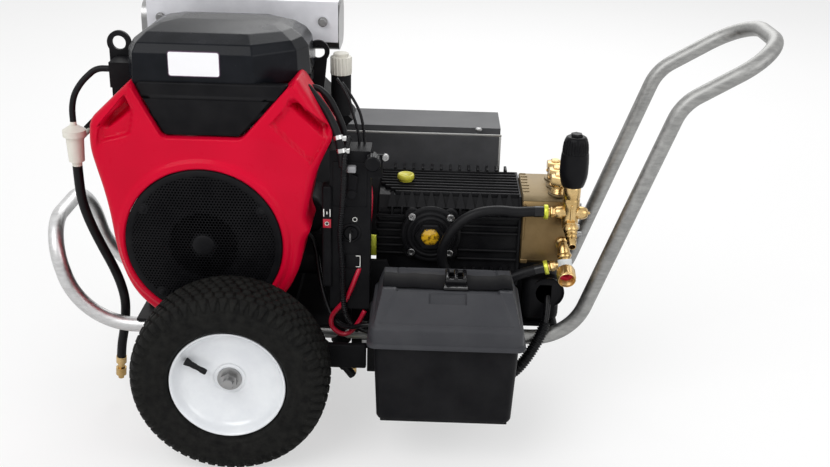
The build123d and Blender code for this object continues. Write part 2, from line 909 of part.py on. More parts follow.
# ---- exhaust ----
def muffler():
    """Welded box with a pipe down to each cylinder head."""
    box = block(
        (axle_x - muffler_left, axle_x + muffler_right),
        (muffler_near_y, muffler_far_y),
        (muffler_bottom_z, muffler_top_z),
    )
    box = fillet(box.edges().filter_by(Axis.X), 26)
    for side, y in ((-1, near_cylinder_y), (1, far_cylinder_y)):
        x, _, z = cylinder_point(side, y, pipe_reach)
        path = [(x, y + fin_depth / 2, z), (x, pipe_y, z), (x, pipe_y, muffler_bottom_z)]
        box += bent_tube(path, [pipe_bend_r], pipe_d)
    return box


def heat_shield():
    """Folded sheet in front of the muffler and over it, on two studs."""
    near = muffler_near_y - shield_gap
    sheet = block(
        (axle_x - shield_left, axle_x + shield_right), (near, near + shield_thick),
        (shield_bottom_z, shield_top_z),
    )
    sheet += block(
        (axle_x - shield_left, axle_x + shield_right), (near, muffler_far_y),
        (shield_top_z - shield_thick, shield_top_z),
    )
    for reach in (24 - shield_left, shield_right - 24):
        z = (shield_bottom_z + shield_top_z) / 2
        sheet += rod((axle_x + reach, near - 4, z), (axle_x + reach, muffler_near_y, z), 9)
    return sheet


def lifting_eyes():
    """Eye plates bolted flat against the cylinder heads."""
    eyes = []
    places = (
        (left_eye_reach, left_eye_z, near_cylinder_y, -4),
        (right_eye_reach, right_eye_z, far_cylinder_y, -10),
    )
    for reach, z, cylinder_y, lean in places:
        far = cylinder_y - fin_depth / 2
        x = axle_x + reach
        root_z = crank_z + 138
        plate = plate_xz(
            [(x - 13 + lean, root_z), (x + 13 + lean, root_z), (x + 16, z), (x - 16, z)],
            far - eye_thick, far,
        )
        plate += rod((x, far - eye_thick, z), (x, far, z), eye_d)
        eyes.append(plate - rod((x, far - eye_thick, z), (x, far, z), eye_hole_d))
    return eyes


# ---- oil side ----
filler_x = axle_x + filler_reach


def far_rocker_cover():
    """Head cover with the oil filler neck standing on it."""
    cover = rocker_cover(1, far_cylinder_y)
    low_z = filler_top_z - filler_neck
    cover += rod((filler_x, filler_y, low_z), (filler_x, filler_y, filler_top_z), filler_d)
    bore_z = filler_top_z - oil_cap_stem - 4
    bore_d = oil_cap_stem_d + 2 * seat_gap
    return cover - rod((filler_x, filler_y, bore_z), (filler_x, filler_y, filler_top_z), bore_d)


def oil_cap():
    """Ribbed screw cap with its stem in the neck."""
    x, y, z = filler_x, filler_y, filler_top_z
    cap = rod((x, y, z), (x, y, z + oil_cap_height), oil_cap_d)
    cap = fillet(cap.edges().group_by(Axis.Z)[-1], 3)
    for index in range(18):
        angle = math.radians(20 * index)
        rib_x = x + oil_cap_d / 2 * math.cos(angle)
        rib_y = y + oil_cap_d / 2 * math.sin(angle)
        cap -= rod((rib_x, rib_y, z), (rib_x, rib_y, z + oil_cap_height), 2.4)
    return cap + rod((x, y, z - oil_cap_stem), (x, y, z), oil_cap_stem_d)


def oil_filter():
    face = crank_x + case_half
    far = (face + oil_filter_length, oil_filter_y, oil_filter_z)
    can = rod((face, oil_filter_y, oil_filter_z), far, oil_filter_d)
    return fillet(can.edges().group_by(Axis.X)[-1], 8)


def starter_motor():
    x = crank_x + case_half + starter_d / 2
    can = rod((x, starter_y, starter_z), (x, starter_y + starter_length, starter_z), starter_d)
    return fillet(can.edges().group_by(Axis.Y)[0], 8)


# ---- control panel ----
panel_x = axle_x + panel_reach
throttle_x = axle_x + throttle_reach
choke_x = axle_x + choke_reach
key_x = axle_x + key_reach
throttle_pin_d = 8.0
lever_thick = 3.0


def control_panel():
    """Upright switch box on a bracket from the crankcase, with an ear for the choke knob."""
    far = panel_near_y + panel_depth
    box = block((panel_x, panel_x + panel_width), (panel_near_y, far), (panel_bottom_z, panel_top_z))
    box += block(
        (choke_x - choke_d / 2 - 2, choke_x + choke_d / 2 + 2),
        (panel_near_y, panel_near_y + 2 * panel_wall),
        (choke_z - choke_d / 2 - 6, choke_z + choke_d / 2 + 6),
    )
    box -= block(
        (panel_x + panel_wall, panel_x + panel_width - panel_wall),
        (panel_near_y + panel_wall, far),
        (panel_bottom_z + panel_wall, panel_top_z - panel_wall),
    )
    arm_z = (crank_z - 62, crank_z - 22)
    box += block((crank_x + case_half - 9, panel_x + 11), (case_near_y - 10, case_near_y), arm_z)
    box += block((panel_x, panel_x + 11), (far, case_near_y), arm_z)
    for x, z, d in ((throttle_x, throttle_z, throttle_pin_d), (choke_x, choke_z, choke_stem_d), (key_x, key_z, key_d)):
        box -= rod((x, panel_near_y, z), (x, panel_near_y + 2 * panel_wall, z), d + 2 * running_gap)
    return box


def throttle_lever():
    """Flat lever on a pin, with a finger knob at its top."""
    near = panel_near_y - seat_gap - lever_thick
    pin = rod((throttle_x, near, throttle_z), (throttle_x, panel_near_y + 12, throttle_z), throttle_pin_d)
    arm = block(
        (throttle_x - 4, throttle_x + 4), (near, near + lever_thick),
        (throttle_z, throttle_z + throttle_arm),
    )
    knob_z = throttle_z + throttle_arm
    knob = block((throttle_x - 7, throttle_x + 7), (near - 12, near), (knob_z - 6, knob_z + 6))
    return pin + arm + rod((throttle_x, near, throttle_z), (throttle_x, near + lever_thick, throttle_z), 16) + knob


def choke_knob():
    """Round pull knob on a stem."""
    near = panel_near_y - seat_gap
    knob = rod((choke_x, near - choke_length, choke_z), (choke_x, near, choke_z), choke_d)
    knob = fillet(knob.edges().group_by(Axis.Y)[0], 4)
    return knob + rod((choke_x, near, choke_z), (choke_x, panel_near_y + panel_depth - 8, choke_z), choke_stem_d)


def key_switch():
    """Lock barrel with the key in it."""
    barrel = rod((key_x, panel_near_y - 5, key_z), (key_x, panel_near_y + 20, key_z), key_d)
    grip = block((key_x - 1.5, key_x + 1.5), (panel_near_y - 24, panel_near_y - 5), (key_z - 10, key_z + 10))
    return barrel + grip


# ---- fuel side ----
def fuel_filter():
    """Cup-shaped filter with a nipple at each end, on a peg from the rocker cover."""
    x = axle_x + fuel_filter_reach
    low = fuel_filter_bottom_z
    top = low + fuel_filter_height
    body = turned(
        [(0, 0), (fuel_filter_d / 2 - 3, 0), (fuel_filter_d / 2 - 1, fuel_filter_height - 18),
         (fuel_filter_d / 2 + 3, fuel_filter_height - 18), (fuel_filter_d / 2 + 3, fuel_filter_height - 8),
         (6, fuel_filter_height), (0, fuel_filter_height)],
        (x, fuel_filter_y, low), (0, 0, 1),
    )
    body += rod((x, fuel_filter_y, top - 2), (x, fuel_filter_y, top + 6), fuel_line_d)
    body += rod((x, fuel_filter_y, low - 8), (x, fuel_filter_y, low + 2), supply_hose_d)
    peg_face = near_cylinder_y - rocker_depth / 2
    return body + rod((x + 9, fuel_filter_y + 4, low + 37), (x + 9, peg_face, low + 37), 8)


def place(points):
    """Route points measured from the axle, moved to the machine's frame."""
    return [(axle_x + x, y, z) for x, y, z in points]


def fuel_lines():
    x, y = fuel_filter_reach, fuel_filter_y
    top = fuel_filter_bottom_z + fuel_filter_height + 6
    supply = [
        (x, y, top), (x, y, top + 22), (x + 6, y - 1, top + 45), (x + 20, y, top + 66),
        (x + 42, y + 6, top + 86), (-fuel_pump_reach - seat_gap, y + 6, top + 86),
    ]
    tray_edge = cleaner_right - 3
    vent = [
        (tray_edge, -97, 578.5), (124, -97, 578.5), (142, -107, 566), (155, -115, 543), (166, -121, 520),
        (166, -121, panel_top_z + seat_gap),
    ]
    return [
        flexible("fuel_lines supply", place(supply), fuel_line_d),
        flexible("fuel_lines vent", place(vent), fuel_line_d),
    ]


supply_route = place([
    (-267, -100, 438), (-267, -100, 411), (-267, -96, 381), (-263, -89, 348), (-255, -83, 316),
    (-244, -79, 284), (-231, -77, 252), (-220, -77, 220), (-214, -78, 188), (-216, -79, 156),
    (-221, -80, 126), (-227, -80, 100), (-229, -80, 78),
])


def fuel_supply_hose():
    return flexible("fuel_supply_hose", supply_route, supply_hose_d)


def fuel_hose_fitting():
    """Crimped ferrule and swivel connector on the hose's free end."""
    end = supply_route[-1]
    before = supply_route[-2]
    line = Vector(*end) - Vector(*before)
    profile = [
        (0, 0), (supply_hose_d / 2 + 1, 0), (supply_hose_d / 2 + 1, 12), (supply_fitting_d / 2 - 1, 12),
        (supply_fitting_d / 2 - 1, 22), (supply_fitting_d / 2 + 2, 22), (supply_fitting_d / 2 + 2, 36),
        (supply_fitting_d / 2 - 2, 36), (supply_fitting_d / 2 - 2, 43), (0, 43),
    ]
    return turned(profile, end, line)


# ---- belt drive ----
pump_shaft_x = axle_x + pump_shaft_reach
guard_near_y = case_far_y
groove_places = (pulley_y - groove_pitch / 2, pulley_y + groove_pitch / 2)


def pulley(x, z, diameter, bore):
    """Two-groove sheave."""
    near = pulley_y - pulley_width / 2
    far = pulley_y + pulley_width / 2
    wheel = rod((x, near, z), (x, far, z), diameter)
    for y in groove_places:
        half = groove_width / 2
        wheel -= ring((x, y - half, z), (x, y + half, z), diameter + 10, diameter - 2 * groove_depth)
    return wheel - rod((x, near, z), (x, far, z), bore)


def belt(y):
    """Closed loop round both sheaves, sunk in their grooves."""
    half = groove_width / 2 - seat_gap
    loops = []
    for depth in (groove_depth - seat_gap - belt_thick, groove_depth - seat_gap):
        plane = Plane(origin=(0, y - half, 0), x_dir=(1, 0, 0), z_dir=(0, -1, 0))
        small = Pos(crank_x, crank_z) * Circle(engine_pulley_d / 2 - depth)
        large = Pos(pump_shaft_x, shaft_z) * Circle(pump_pulley_d / 2 - depth)
        hull = make_hull(small.edges() + large.edges())
        loops.append(extrude(plane * hull, -2 * half))
    return loops[0] - loops[1]


def guard_stay_places():
    """Centres, in x and z, of the stays that carry the guard on the pump."""
    return [
        (pump_shaft_x + reach, z) for reach in (-guard_stay_reach, guard_stay_reach)
        for z in (pump_base_z + guard_stay_rise, pump_case_top_z - guard_stay_drop)
    ]


def guard_plate():
    """Flat back plate with holes for both shafts and standoffs to the pump."""
    left = axle_x + guard_left_reach
    right = axle_x + guard_right_reach
    plate = block((left, right), (guard_near_y, guard_near_y + guard_wall), (guard_bottom_z, guard_top_z))
    for x, z, d in ((crank_x, crank_z, crank_d), (pump_shaft_x, shaft_z, pump_shaft_d)):
        far = guard_near_y + guard_wall
        plate -= rod((x, guard_near_y, z), (x, far, z), d + 2 * guard_shaft_gap)
    for x, z in guard_stay_places():
        plate += rod((x, pump_far_y, z), (x, guard_near_y, z), guard_stay_d)
    return plate


def guard_cover():
    """Sheet cover over the belts, open below and stepped back over the wheel."""
    left = axle_x + guard_left_reach
    right = axle_x + guard_right_reach
    near = guard_near_y + guard_wall
    corner_x = axle_x + guard_wheel_reach
    wall = guard_wall
    shell = block((left, right), (near, guard_far_y), (guard_bottom_z, guard_top_z))
    shell -= block((left, corner_x), (guard_wheel_y, guard_far_y), (guard_bottom_z, guard_wheel_z))
    space = block((left + wall, right - wall), (near, guard_far_y - wall), (guard_bottom_z, guard_top_z - wall))
    space -= block(
        (left, corner_x + wall), (guard_wheel_y - wall, guard_far_y), (guard_bottom_z, guard_wheel_z + wall)
    )
    return shell - space


# ---- pump ----
pump_left_x = axle_x + pump_left_reach
pump_right_x = pump_left_x + pump_case_length
pump_mid_y = (pump_near_y + pump_far_y) / 2
head_mid_y = (head_near_y + head_far_y) / 2
plunger_places = [head_mid_y + turn * plunger_pitch for turn in (-1, 0, 1)]


def shoulder_rib(x, side):
    """Sloped rib over one long top edge of the pump case: side -1 is near, 1 is far."""
    face = (pump_far_y - pump_near_y) / 2
    top = pump_case_top_z
    root = top - pump_rib_height
    slope = face - pump_shoulder - pump_rib_height - 1
    outline = [
        (face - 12, root - 35), (face, root - 27), (face, top - (face - slope)), (slope, top),
        (slope - 8, top), (slope - 8, root - 5),
    ]
    return plate_yz([(pump_mid_y + side * y, z) for y, z in outline], x, pump_rib_thick)


def pump_crankcase():
    """Finned case with its crank space, shaft bores and plunger guides."""
    core_near = pump_near_y + pump_rib_height
    core_far = pump_far_y - pump_rib_height
    core_top = pump_case_top_z - pump_rib_height
    case = block((pump_left_x, pump_right_x), (core_near, core_far), (pump_base_z, core_top))
    case = chamfer(case.edges().filter_by(Axis.X).group_by(Axis.Z)[-1], pump_shoulder)
    left = pump_left_x + pump_ridge_inset
    for index in range(pump_shoulder_ribs):
        for side in (-1, 1):
            case += shoulder_rib(left + pump_shoulder_pitch * index, side)
    for turn in (-3, -2, -1, 0, 1, 2, 3):
        y = pump_mid_y + turn * pump_ridge_pitch
        ridge = (y - pump_rib_thick / 2, y + pump_rib_thick / 2)
        case += block((left, pump_right_x - pump_rib_height), ridge, (core_top, pump_case_top_z))
    for y in ((pump_near_y, core_near), (core_far, pump_far_y)):
        for index in range(pump_fin_count):
            z = pump_fin_low_z + pump_fin_pitch * index
            fin = (pump_left_x + pump_rib_height, pump_right_x - pump_rib_height)
            case += block(fin, y, (z, z + pump_rib_thick))
    half = cover_plate_size / 2
    seat = (pump_shaft_x - half, pump_shaft_x + half)
    for y in ((pump_near_y - 1, core_near), (core_far, pump_far_y + 1)):
        case -= block(seat, y, (shaft_z - half, shaft_z + half))
    for y in ((pump_near_y, core_near), (core_far, pump_far_y)):
        case += rod((pump_shaft_x, y[0], shaft_z), (pump_shaft_x, y[1], shaft_z), cover_seat_d)
    wall = pump_bore_wall
    case -= block(
        (pump_left_x + wall, pump_right_x - 2 * wall), (core_near + wall, core_far - wall),
        (pump_base_z + wall, core_top - wall),
    )
    case -= rod(
        (pump_shaft_x, core_near + 4, shaft_z), (pump_shaft_x, pump_far_y, shaft_z),
        pump_shaft_d + 2 * running_gap,
    )
    for x, z in guard_stay_places():
        case += rod((x, core_far, z), (x, pump_far_y, z), guard_boss_d)
    for y in plunger_places:
        inner = pump_right_x - plunger_reach - 1
        case -= rod((inner, y, plunger_z), (pump_right_x, y, plunger_z), plunger_d + 2 * running_gap)
    dip_x = axle_x + dipstick_reach
    cap_seat = (dip_x, dipstick_y, pump_case_top_z)
    case += rod((dip_x, dipstick_y, core_top), cap_seat, dipstick_cap_d + 4)
    top_bore = dipstick_d + 6
    return case - rod((dip_x, dipstick_y, core_top - wall), (dip_x, dipstick_y, pump_case_top_z), top_bore)


def pump_cover():
    """Square bearing cover with its four bolts and the round sight glass."""
    near = pump_near_y - cover_plate_thick
    half = cover_plate_size / 2
    plate = block((pump_shaft_x - half, pump_shaft_x + half), (near, pump_near_y), (shaft_z - half, shaft_z + half))
    plate = chamfer(plate.edges().filter_by(Axis.Y), 14)
    glass_seat = (pump_shaft_x, near, shaft_z)
    plate += rod((pump_shaft_x, near - 6, shaft_z), glass_seat, sight_glass_d + 12)
    plate -= rod((pump_shaft_x, near - 6, shaft_z), glass_seat, sight_glass_d)
    pieces = [plate, rod((pump_shaft_x, near - 4, shaft_z), glass_seat, sight_glass_d)]
    for side_x in (-1, 1):
        for side_z in (-1, 1):
            x = pump_shaft_x + side_x * cover_bolt_pitch / 2
            z = shaft_z + side_z * cover_bolt_pitch / 2
            pieces.append(hex_bar((x, near - cover_bolt_d * 0.7, z), (x, near, z), cover_bolt_head_d))
    return pieces


def pump_shaft():
    far = pulley_y + pulley_width / 2 + 6
    near = pump_near_y + pump_rib_height + 5
    return rod((pump_shaft_x, near, shaft_z), (pump_shaft_x, far, shaft_z), pump_shaft_d)


def plungers():
    far = pump_right_x + plunger_length - plunger_reach
    return [
        rod((pump_right_x - plunger_reach, y, plunger_z), (far, y, plunger_z), plunger_d)
        for y in plunger_places
    ]


def pump_head():
    """Brass manifold block with a bore for each plunger."""
    head = block((pump_right_x, pump_right_x + head_length), (head_near_y, head_far_y), (head_bottom_z, head_top_z))
    head = chamfer(head.edges().filter_by(Axis.Y), 5)
    for y in plunger_places:
        far = pump_right_x + plunger_length - plunger_reach + 2
        head -= rod((pump_right_x, y, plunger_z), (far, y, plunger_z), plunger_d + 2 * running_gap)
    return head


def valve_caps():
    x = pump_right_x + head_length - valve_cap_inset
    caps = []
    for y in plunger_places:
        neck_z = head_top_z + valve_cap_neck
        cap = rod((x, y, head_top_z), (x, y, neck_z), valve_cap_neck_d)
        caps.append(cap + hex_bar((x, y, neck_z), (x, y, neck_z + valve_cap_height), valve_cap_af))
    return caps


def dipstick_cap():
    """Yellow plug with the stick that hangs in the crank space."""
    x = axle_x + dipstick_reach
    z = pump_case_top_z
    cap = rod((x, dipstick_y, z), (x, dipstick_y, z + dipstick_cap_height), dipstick_cap_d)
    cap = fillet(cap.edges().group_by(Axis.Z)[-1], 3)
    return cap + rod((x, dipstick_y, z - dipstick_length), (x, dipstick_y, z), dipstick_d)


# ---- unloader, outlet and inlet ----
head_right_x = pump_right_x + head_length
unloader_x = axle_x + unloader_reach
outlet_dir = Vector(0, -math.cos(math.radians(outlet_slope)), -math.sin(math.radians(outlet_slope)))
outlet_cone_end = outlet_neck_end + (outlet_neck_d - outlet_plug_d) / 2
inlet_turn = (axle_x + inlet_reach, inlet_y, inlet_z)
inlet_dir = Vector(0, -math.cos(math.radians(inlet_slope)), -math.sin(math.radians(inlet_slope)))
bypass_top_x = unloader_x - arm_left - hose_nut_length - ferrule_width
bypass_low = (axle_x + 498, -100, 282.6)
bypass_low_dir = Vector(0.965, 0, 0.263).normalized()


def along(start, direction, distance):
    """Point at a distance from another along a direction."""
    return tuple(Vector(*start) + direction * distance)


def hose_end(start, direction):
    """Ferrule and nut that grip a hose, standing on the hose's end."""
    collar_end = along(start, direction, ferrule_width)
    nut_end = along(start, direction, ferrule_width + hose_nut_length)
    return rod(start, collar_end, ferrule_d) + hex_bar(collar_end, nut_end, hose_nut_af)


def unloader_valve():
    """Brass cross body with its stem, the arm into the head, the outlet plug and the bypass arm."""
    x, y, z = unloader_x, unloader_y, arm_z
    body = rod((x, y, unloader_bottom_z), (x, y, unloader_top_z), unloader_body_d)
    body += rod((x, y, unloader_top_z), (x, y, unloader_top_z + unloader_stem), unloader_stem_d)
    body += rod((x - arm_back, head_near_y, z), (x - arm_back, y, z), arm_d)
    body += rod((x - arm_left, y, z), (x + arm_right, y, z), arm_d)
    body += hose_end((bypass_top_x, y, z), Vector(1, 0, 0))
    collar_r = outlet_collar_d / 2
    neck_r = outlet_neck_d / 2
    plug_r = outlet_plug_d / 2
    plug = [
        (0, 0), (collar_r, 0), (collar_r, outlet_collar_length), (neck_r, outlet_collar_length),
        (neck_r, outlet_neck_end), (plug_r, outlet_cone_end), (plug_r, outlet_plug_end), (0, outlet_plug_end),
    ]
    return body + turned(plug, (x, y, outlet_z), outlet_dir)


def unloader_knob():
    """Barrel knob with a fluted band, a hexagon on top and a blind bore for the stem."""
    low = unloader_top_z + seat_gap
    top = unloader_top_z + unloader_knob_height
    x, y = unloader_x, unloader_y
    knob_r = unloader_knob_d / 2
    outline = [(knob_r + r, h) for r, h in unloader_knob_outline]
    knob = turned([(0, 0), *outline, (0, outline[-1][1])], (x, y, low), (0, 0, 1))
    knob += hex_bar((x, y, low + outline[-2][1]), (x, y, top), 2 * outline[-1][0])
    band_r = knob_r + unloader_knob_outline[-4][0]
    for index in range(unloader_flutes):
        angle = 2 * math.pi * index / unloader_flutes
        groove = (x + band_r * math.cos(angle), y + band_r * math.sin(angle))
        knob -= rod(
            (*groove, low + unloader_flute_low), (*groove, low + unloader_flute_high), unloader_flute_d
        )
    bore_top = unloader_top_z + unloader_stem + seat_gap
    return knob - rod((x, y, low), (x, y, bore_top), unloader_stem_d + 2 * running_gap)


bypass_route = [
    (bypass_top_x, unloader_y, arm_z), *place([
        (470, unloader_y, 381), (446, -100, 380), (414, -103, 384), (382, -106, 380), (355, -107, 364),
        (337, -107, 340), (327, -106, 313), (327, -104, 286), (342, -102, 264), (370, -100, 253),
        (403, -98, 250), (437, -98, 258),
    ]), along(bypass_low, bypass_low_dir, -31), bypass_low,
]


def bypass_hose():
    return flexible("bypass_hose", bypass_route, bypass_hose_d)


def inlet_elbow():
    """Suction elbow on the head's near face, with the nipple that takes the bypass hose."""
    port = (axle_x + inlet_port[0], head_near_y, inlet_port[1])
    bend = (axle_x + inlet_bend[0], *inlet_bend[1:])
    elbow = rod(port, bend, inlet_stub_d) + Pos(*bend) * Sphere(inlet_stub_d / 2 + 0.5)
    elbow += rod(bend, inlet_turn, inlet_pipe_d) + Pos(*inlet_turn) * Sphere(inlet_pipe_d / 2 + 1)
    elbow += rod(inlet_turn, along(inlet_turn, inlet_dir, inlet_pipe_run), inlet_run_d)
    nipple = rod(bypass_low, along(bypass_low, bypass_low_dir, nipple_length), nipple_d)
    return elbow + nipple + hose_end(bypass_low, bypass_low_dir)


def inlet_nut():
    """Free-turning hose nut with a washer seat inside its mouth."""
    start = along(inlet_turn, inlet_dir, inlet_pipe_run - 6)
    seat = along(inlet_turn, inlet_dir, inlet_pipe_run + 2)
    end = along(inlet_turn, inlet_dir, inlet_pipe_run + inlet_nut_length)
    nut = rod(start, end, inlet_nut_d) - rod(seat, end, inlet_bore_d)
    return nut - rod(start, seat, inlet_run_d + 2 * running_gap)


# ---- battery case ----
battery_x = axle_x + battery_x_reach


def case_section(width, depth, z):
    return Pos(battery_x, battery_y, z) * RectangleRounded(width, depth, 12)


def battery_tray():
    """Angle plate bolted against the near rail, with a lipped floor under the case."""
    rail_face = -(rail_y + tube_d / 2)
    wall_y = rail_face - tray_thick
    near_y = battery_y - case_bottom_d / 2 - 4
    right = battery_x + case_bottom_w / 2 + 4
    left = battery_x - case_bottom_w / 2 - 4
    tray = block((axle_x + tray_left_reach, right), (wall_y, rail_face), (tray_z, rail_z + 8))
    tray += block((left, right), (near_y, rail_face), (tray_z, tray_z + tray_thick))
    for inner in (left, right - 2):
        tray += block((inner, inner + 2), (near_y, near_y + 30), (tray_z, tray_z + tray_lip))
    return tray


def battery_case():
    """Open tapered box."""
    wall = battery_case_wall
    outer = loft([
        case_section(case_bottom_w, case_bottom_d, case_bottom_z),
        case_section(case_top_w, case_top_d, case_rim_z),
    ])
    inner = loft([
        case_section(case_bottom_w - 2 * wall, case_bottom_d - 2 * wall, case_bottom_z + wall),
        case_section(case_top_w - 2 * wall, case_top_d - 2 * wall, case_rim_z),
    ])
    return outer - inner


def battery():
    low = case_bottom_z + battery_case_wall
    x0, x1 = battery_x - battery_w / 2, battery_x + battery_w / 2
    y0, y1 = battery_y - battery_d / 2, battery_y + battery_d / 2
    cell = block((x0, x1), (y0, y1), (low, low + battery_h))
    for x in (x0 + 26, x1 - 26):
        post = (x, battery_y, low + battery_h)
        cell += rod(post, (x, battery_y, post[2] + terminal_h), terminal_d)
    return cell


def lid_form(inset):
    """Skirt, sloping sides and a narrow raised top."""
    shelf_z = lid_skirt_z - inset
    skirt = extrude(case_section(lid_w - 2 * inset, lid_d - 2 * inset, lid_bottom_z), shelf_z - lid_bottom_z)
    foot = Pos(battery_x, battery_y, shelf_z) * RectangleRounded(
        lid_w - lid_shelf_x - 2 * inset, lid_d - lid_shelf_y - 2 * inset, 8)
    top = Pos(battery_x, battery_y + lid_plateau_shift, lid_top_z - inset) * RectangleRounded(
        lid_plateau_w - 2 * inset, lid_plateau_d - 2 * inset, 8)
    return skirt + loft([foot, top])


def battery_lid():
    return lid_form(0) - lid_form(lid_wall)


def lid_strap():
    """Webbing over the lid's raised top, with its buckle."""
    half = lid_plateau_w / 2 - 2
    y = battery_y + lid_plateau_shift
    strap = block(
        (battery_x - half, battery_x + half), (y - strap_width / 2, y + strap_width / 2),
        (lid_top_z, lid_top_z + strap_thick),
    )
    buckle_z = lid_top_z + strap_thick
    return strap + block(
        (battery_x - 4, battery_x - 4 + buckle_length), (y - buckle_width / 2, y + buckle_width / 2),
        (buckle_z, buckle_z + buckle_height),
    )


# ---- wiring and small hoses ----
def relay_box():
    """Black plastic box for the start relay, behind the handle foot."""
    left = axle_x + relay_reach
    box = block(
        (left, left + relay_length), (relay_near_y, relay_near_y + relay_depth),
        (plate_top, plate_top + relay_height),
    )
    return fillet(box.edges().filter_by(Axis.X), relay_round)


def oil_drain():
    """Short drain hose from the case over the rail, with its plug end clipped to the tray."""
    z = plate_top + drain_rise
    route = place([
        (20, case_near_y, z), (20, -84, z), (36, -108, z + 1), (62, -128, z - 2), (92, -140, z - 12),
        (122, -146, 166), (146, -146, 142), (163, -144, 118),
    ])
    line = Vector(*route[-1]) - Vector(*route[-2])
    plug = turned([(0, 0), (9, 0), (9, 12), (7, 12), (7, 34), (0, 34)], route[-1], line)
    return [flexible("oil_drain", route, 13), plug]


def wiring():
    """Starter lead, panel lead and the corrugated loom down to the tray."""
    case_left = battery_x - case_bottom_w / 2 - 5.6 - axle_x
    starter_x = case_half + crank_offset + starter_d / 2
    starter_lead = [
        (case_left - 0.3, -175, 205), (204, -175, 205), (183, -165, 193), (160, -150, 190), (143, -134, 205),
        (131, -117, 234), (122, -98, 264), (117, -84, 295), (108, -78, 322), (starter_x, -75, starter_z),
        (starter_x, starter_y, starter_z),
    ]
    panel_lead = [
        (172, -130, panel_bottom_z), (172, -130, 207), (178, -138, 193), (191, -148, 184),
        (206, -153, 180), (case_left - 0.9, -153, 180),
    ]
    tray_right = battery_x + case_bottom_w / 2 + 4 - axle_x
    loom = [
        (505, relay_near_y, 226), (505, relay_near_y - 15, 226), (512, -124, 216), (520, -136, 194),
        (519, -141, 168), (509, -141, 142), (493, -138, 120), (470, -131, 105), (tray_right + 0.3, -131, 105),
    ]
    return [
        flexible("wiring starter", place(starter_lead), lead_d),
        flexible("wiring panel", place(panel_lead), lead_d),
        flexible("wiring loom", place(loom), loom_d),
    ]


# ---- build every node ----
def build():
    os.makedirs("parts", exist_ok=True)
    save("front_loop_tube", front_loop_tube())
    save("handle_tube", handle_tube())
    save("side_rails", side_rail(-1), side_rail(1))
    save("base_plate", base_plate())
    save("axle", axle())
    save("frame_fasteners", *spigots(), *plate_bolts(), *axle_hardware())
    save("stand_legs", stand_legs())
    save("stand_feet", *stand_feet())
    save("pump_risers", *pump_risers())
    for name, side in (("near", -1), ("far", 1)):
        save(f"{name}_tyre", tyre(side))
        save(f"{name}_rim", *wheel_rim(side))
    save("engine_crankcase", engine_crankcase())
    save("crankshaft", crankshaft())
    save("cylinders", cylinder(-1, near_cylinder_y), cylinder(1, far_cylinder_y))
    save("rocker_covers", rocker_cover(-1, near_cylinder_y), far_rocker_cover())
    save("flywheel_fan", flywheel_fan())
    save("fan_cover", fan_cover())
    save("intake_grille", *intake_grille())
    save("carburettor", carburettor())
    save("air_cleaner_base", air_cleaner_base())
    save("filter_element", filter_element())
    save("air_cleaner_cover", air_cleaner_cover())
    save("muffler", muffler())
    save("heat_shield", heat_shield())
    save("lifting_eyes", *lifting_eyes())
    save("oil_cap", oil_cap())
    save("oil_filter", oil_filter())
    save("starter_motor", starter_motor())
    save("control_panel", control_panel())
    save("throttle_lever", throttle_lever())
    save("choke_knob", choke_knob())
    save("key_switch", key_switch())
    save("fuel_filter", fuel_filter())
    save("engine_hoses", *fuel_lines(), *oil_drain())
    save("fuel_supply_hose", fuel_supply_hose())
    save("fuel_hose_fitting", fuel_hose_fitting())
    save("engine_pulley", pulley(crank_x, crank_z, engine_pulley_d, crank_d))
    save("pump_pulley", pulley(pump_shaft_x, shaft_z, pump_pulley_d, pump_shaft_d))
    save("drive_belts", *[belt(y) for y in groove_places])
    save("belt_guard", guard_plate(), guard_cover())
    save("pump_crankcase", pump_crankcase())
    save("pump_cover", *pump_cover())
    save("pump_shaft", pump_shaft())
    save("plungers", *plungers())
    save("pump_head", pump_head())
    save("valve_caps", *valve_caps())
    save("dipstick_cap", dipstick_cap())
    save("unloader_valve", unloader_valve())
    save("unloader_knob", unloader_knob())
    save("bypass_hose", bypass_hose())
    save("inlet_elbow", inlet_elbow())
    save("inlet_nut", inlet_nut())
    save("battery_tray", battery_tray())
    save("battery_case", battery_case())
    save("battery", battery())
    save("battery_lid", battery_lid())
    save("lid_strap", lid_strap())
    save("wiring", *wiring(), relay_box())


build()
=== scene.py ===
import bpy
import math
import numpy as np
from mathutils import Matrix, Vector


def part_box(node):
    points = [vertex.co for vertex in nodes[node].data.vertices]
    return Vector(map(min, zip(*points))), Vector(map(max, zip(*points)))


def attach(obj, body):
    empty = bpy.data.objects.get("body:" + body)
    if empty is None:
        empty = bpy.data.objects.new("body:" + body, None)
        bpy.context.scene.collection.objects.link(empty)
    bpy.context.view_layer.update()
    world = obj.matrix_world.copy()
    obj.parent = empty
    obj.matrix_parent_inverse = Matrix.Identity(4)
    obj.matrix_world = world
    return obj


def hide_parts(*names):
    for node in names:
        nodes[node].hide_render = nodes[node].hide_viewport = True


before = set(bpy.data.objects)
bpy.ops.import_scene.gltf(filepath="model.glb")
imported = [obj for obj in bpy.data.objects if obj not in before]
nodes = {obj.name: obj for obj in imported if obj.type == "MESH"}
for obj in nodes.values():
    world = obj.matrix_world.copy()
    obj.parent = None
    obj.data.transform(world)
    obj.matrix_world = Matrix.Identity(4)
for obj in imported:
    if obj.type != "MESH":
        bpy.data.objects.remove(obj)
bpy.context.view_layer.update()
mm = 0.001
wheelLow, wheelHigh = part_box("near_tyre")
axleX = (wheelLow.x + wheelHigh.x) / 2          # every place below is counted from the axle
axleZ = (wheelLow.z + wheelHigh.z) / 2
print("frame loaded,", len(nodes), "nodes")


def places(points):  # millimetres of the part to metres of the scene: times mm, moved along x by axleX
    return np.array(points, float) * mm + np.array([axleX, 0, 0])


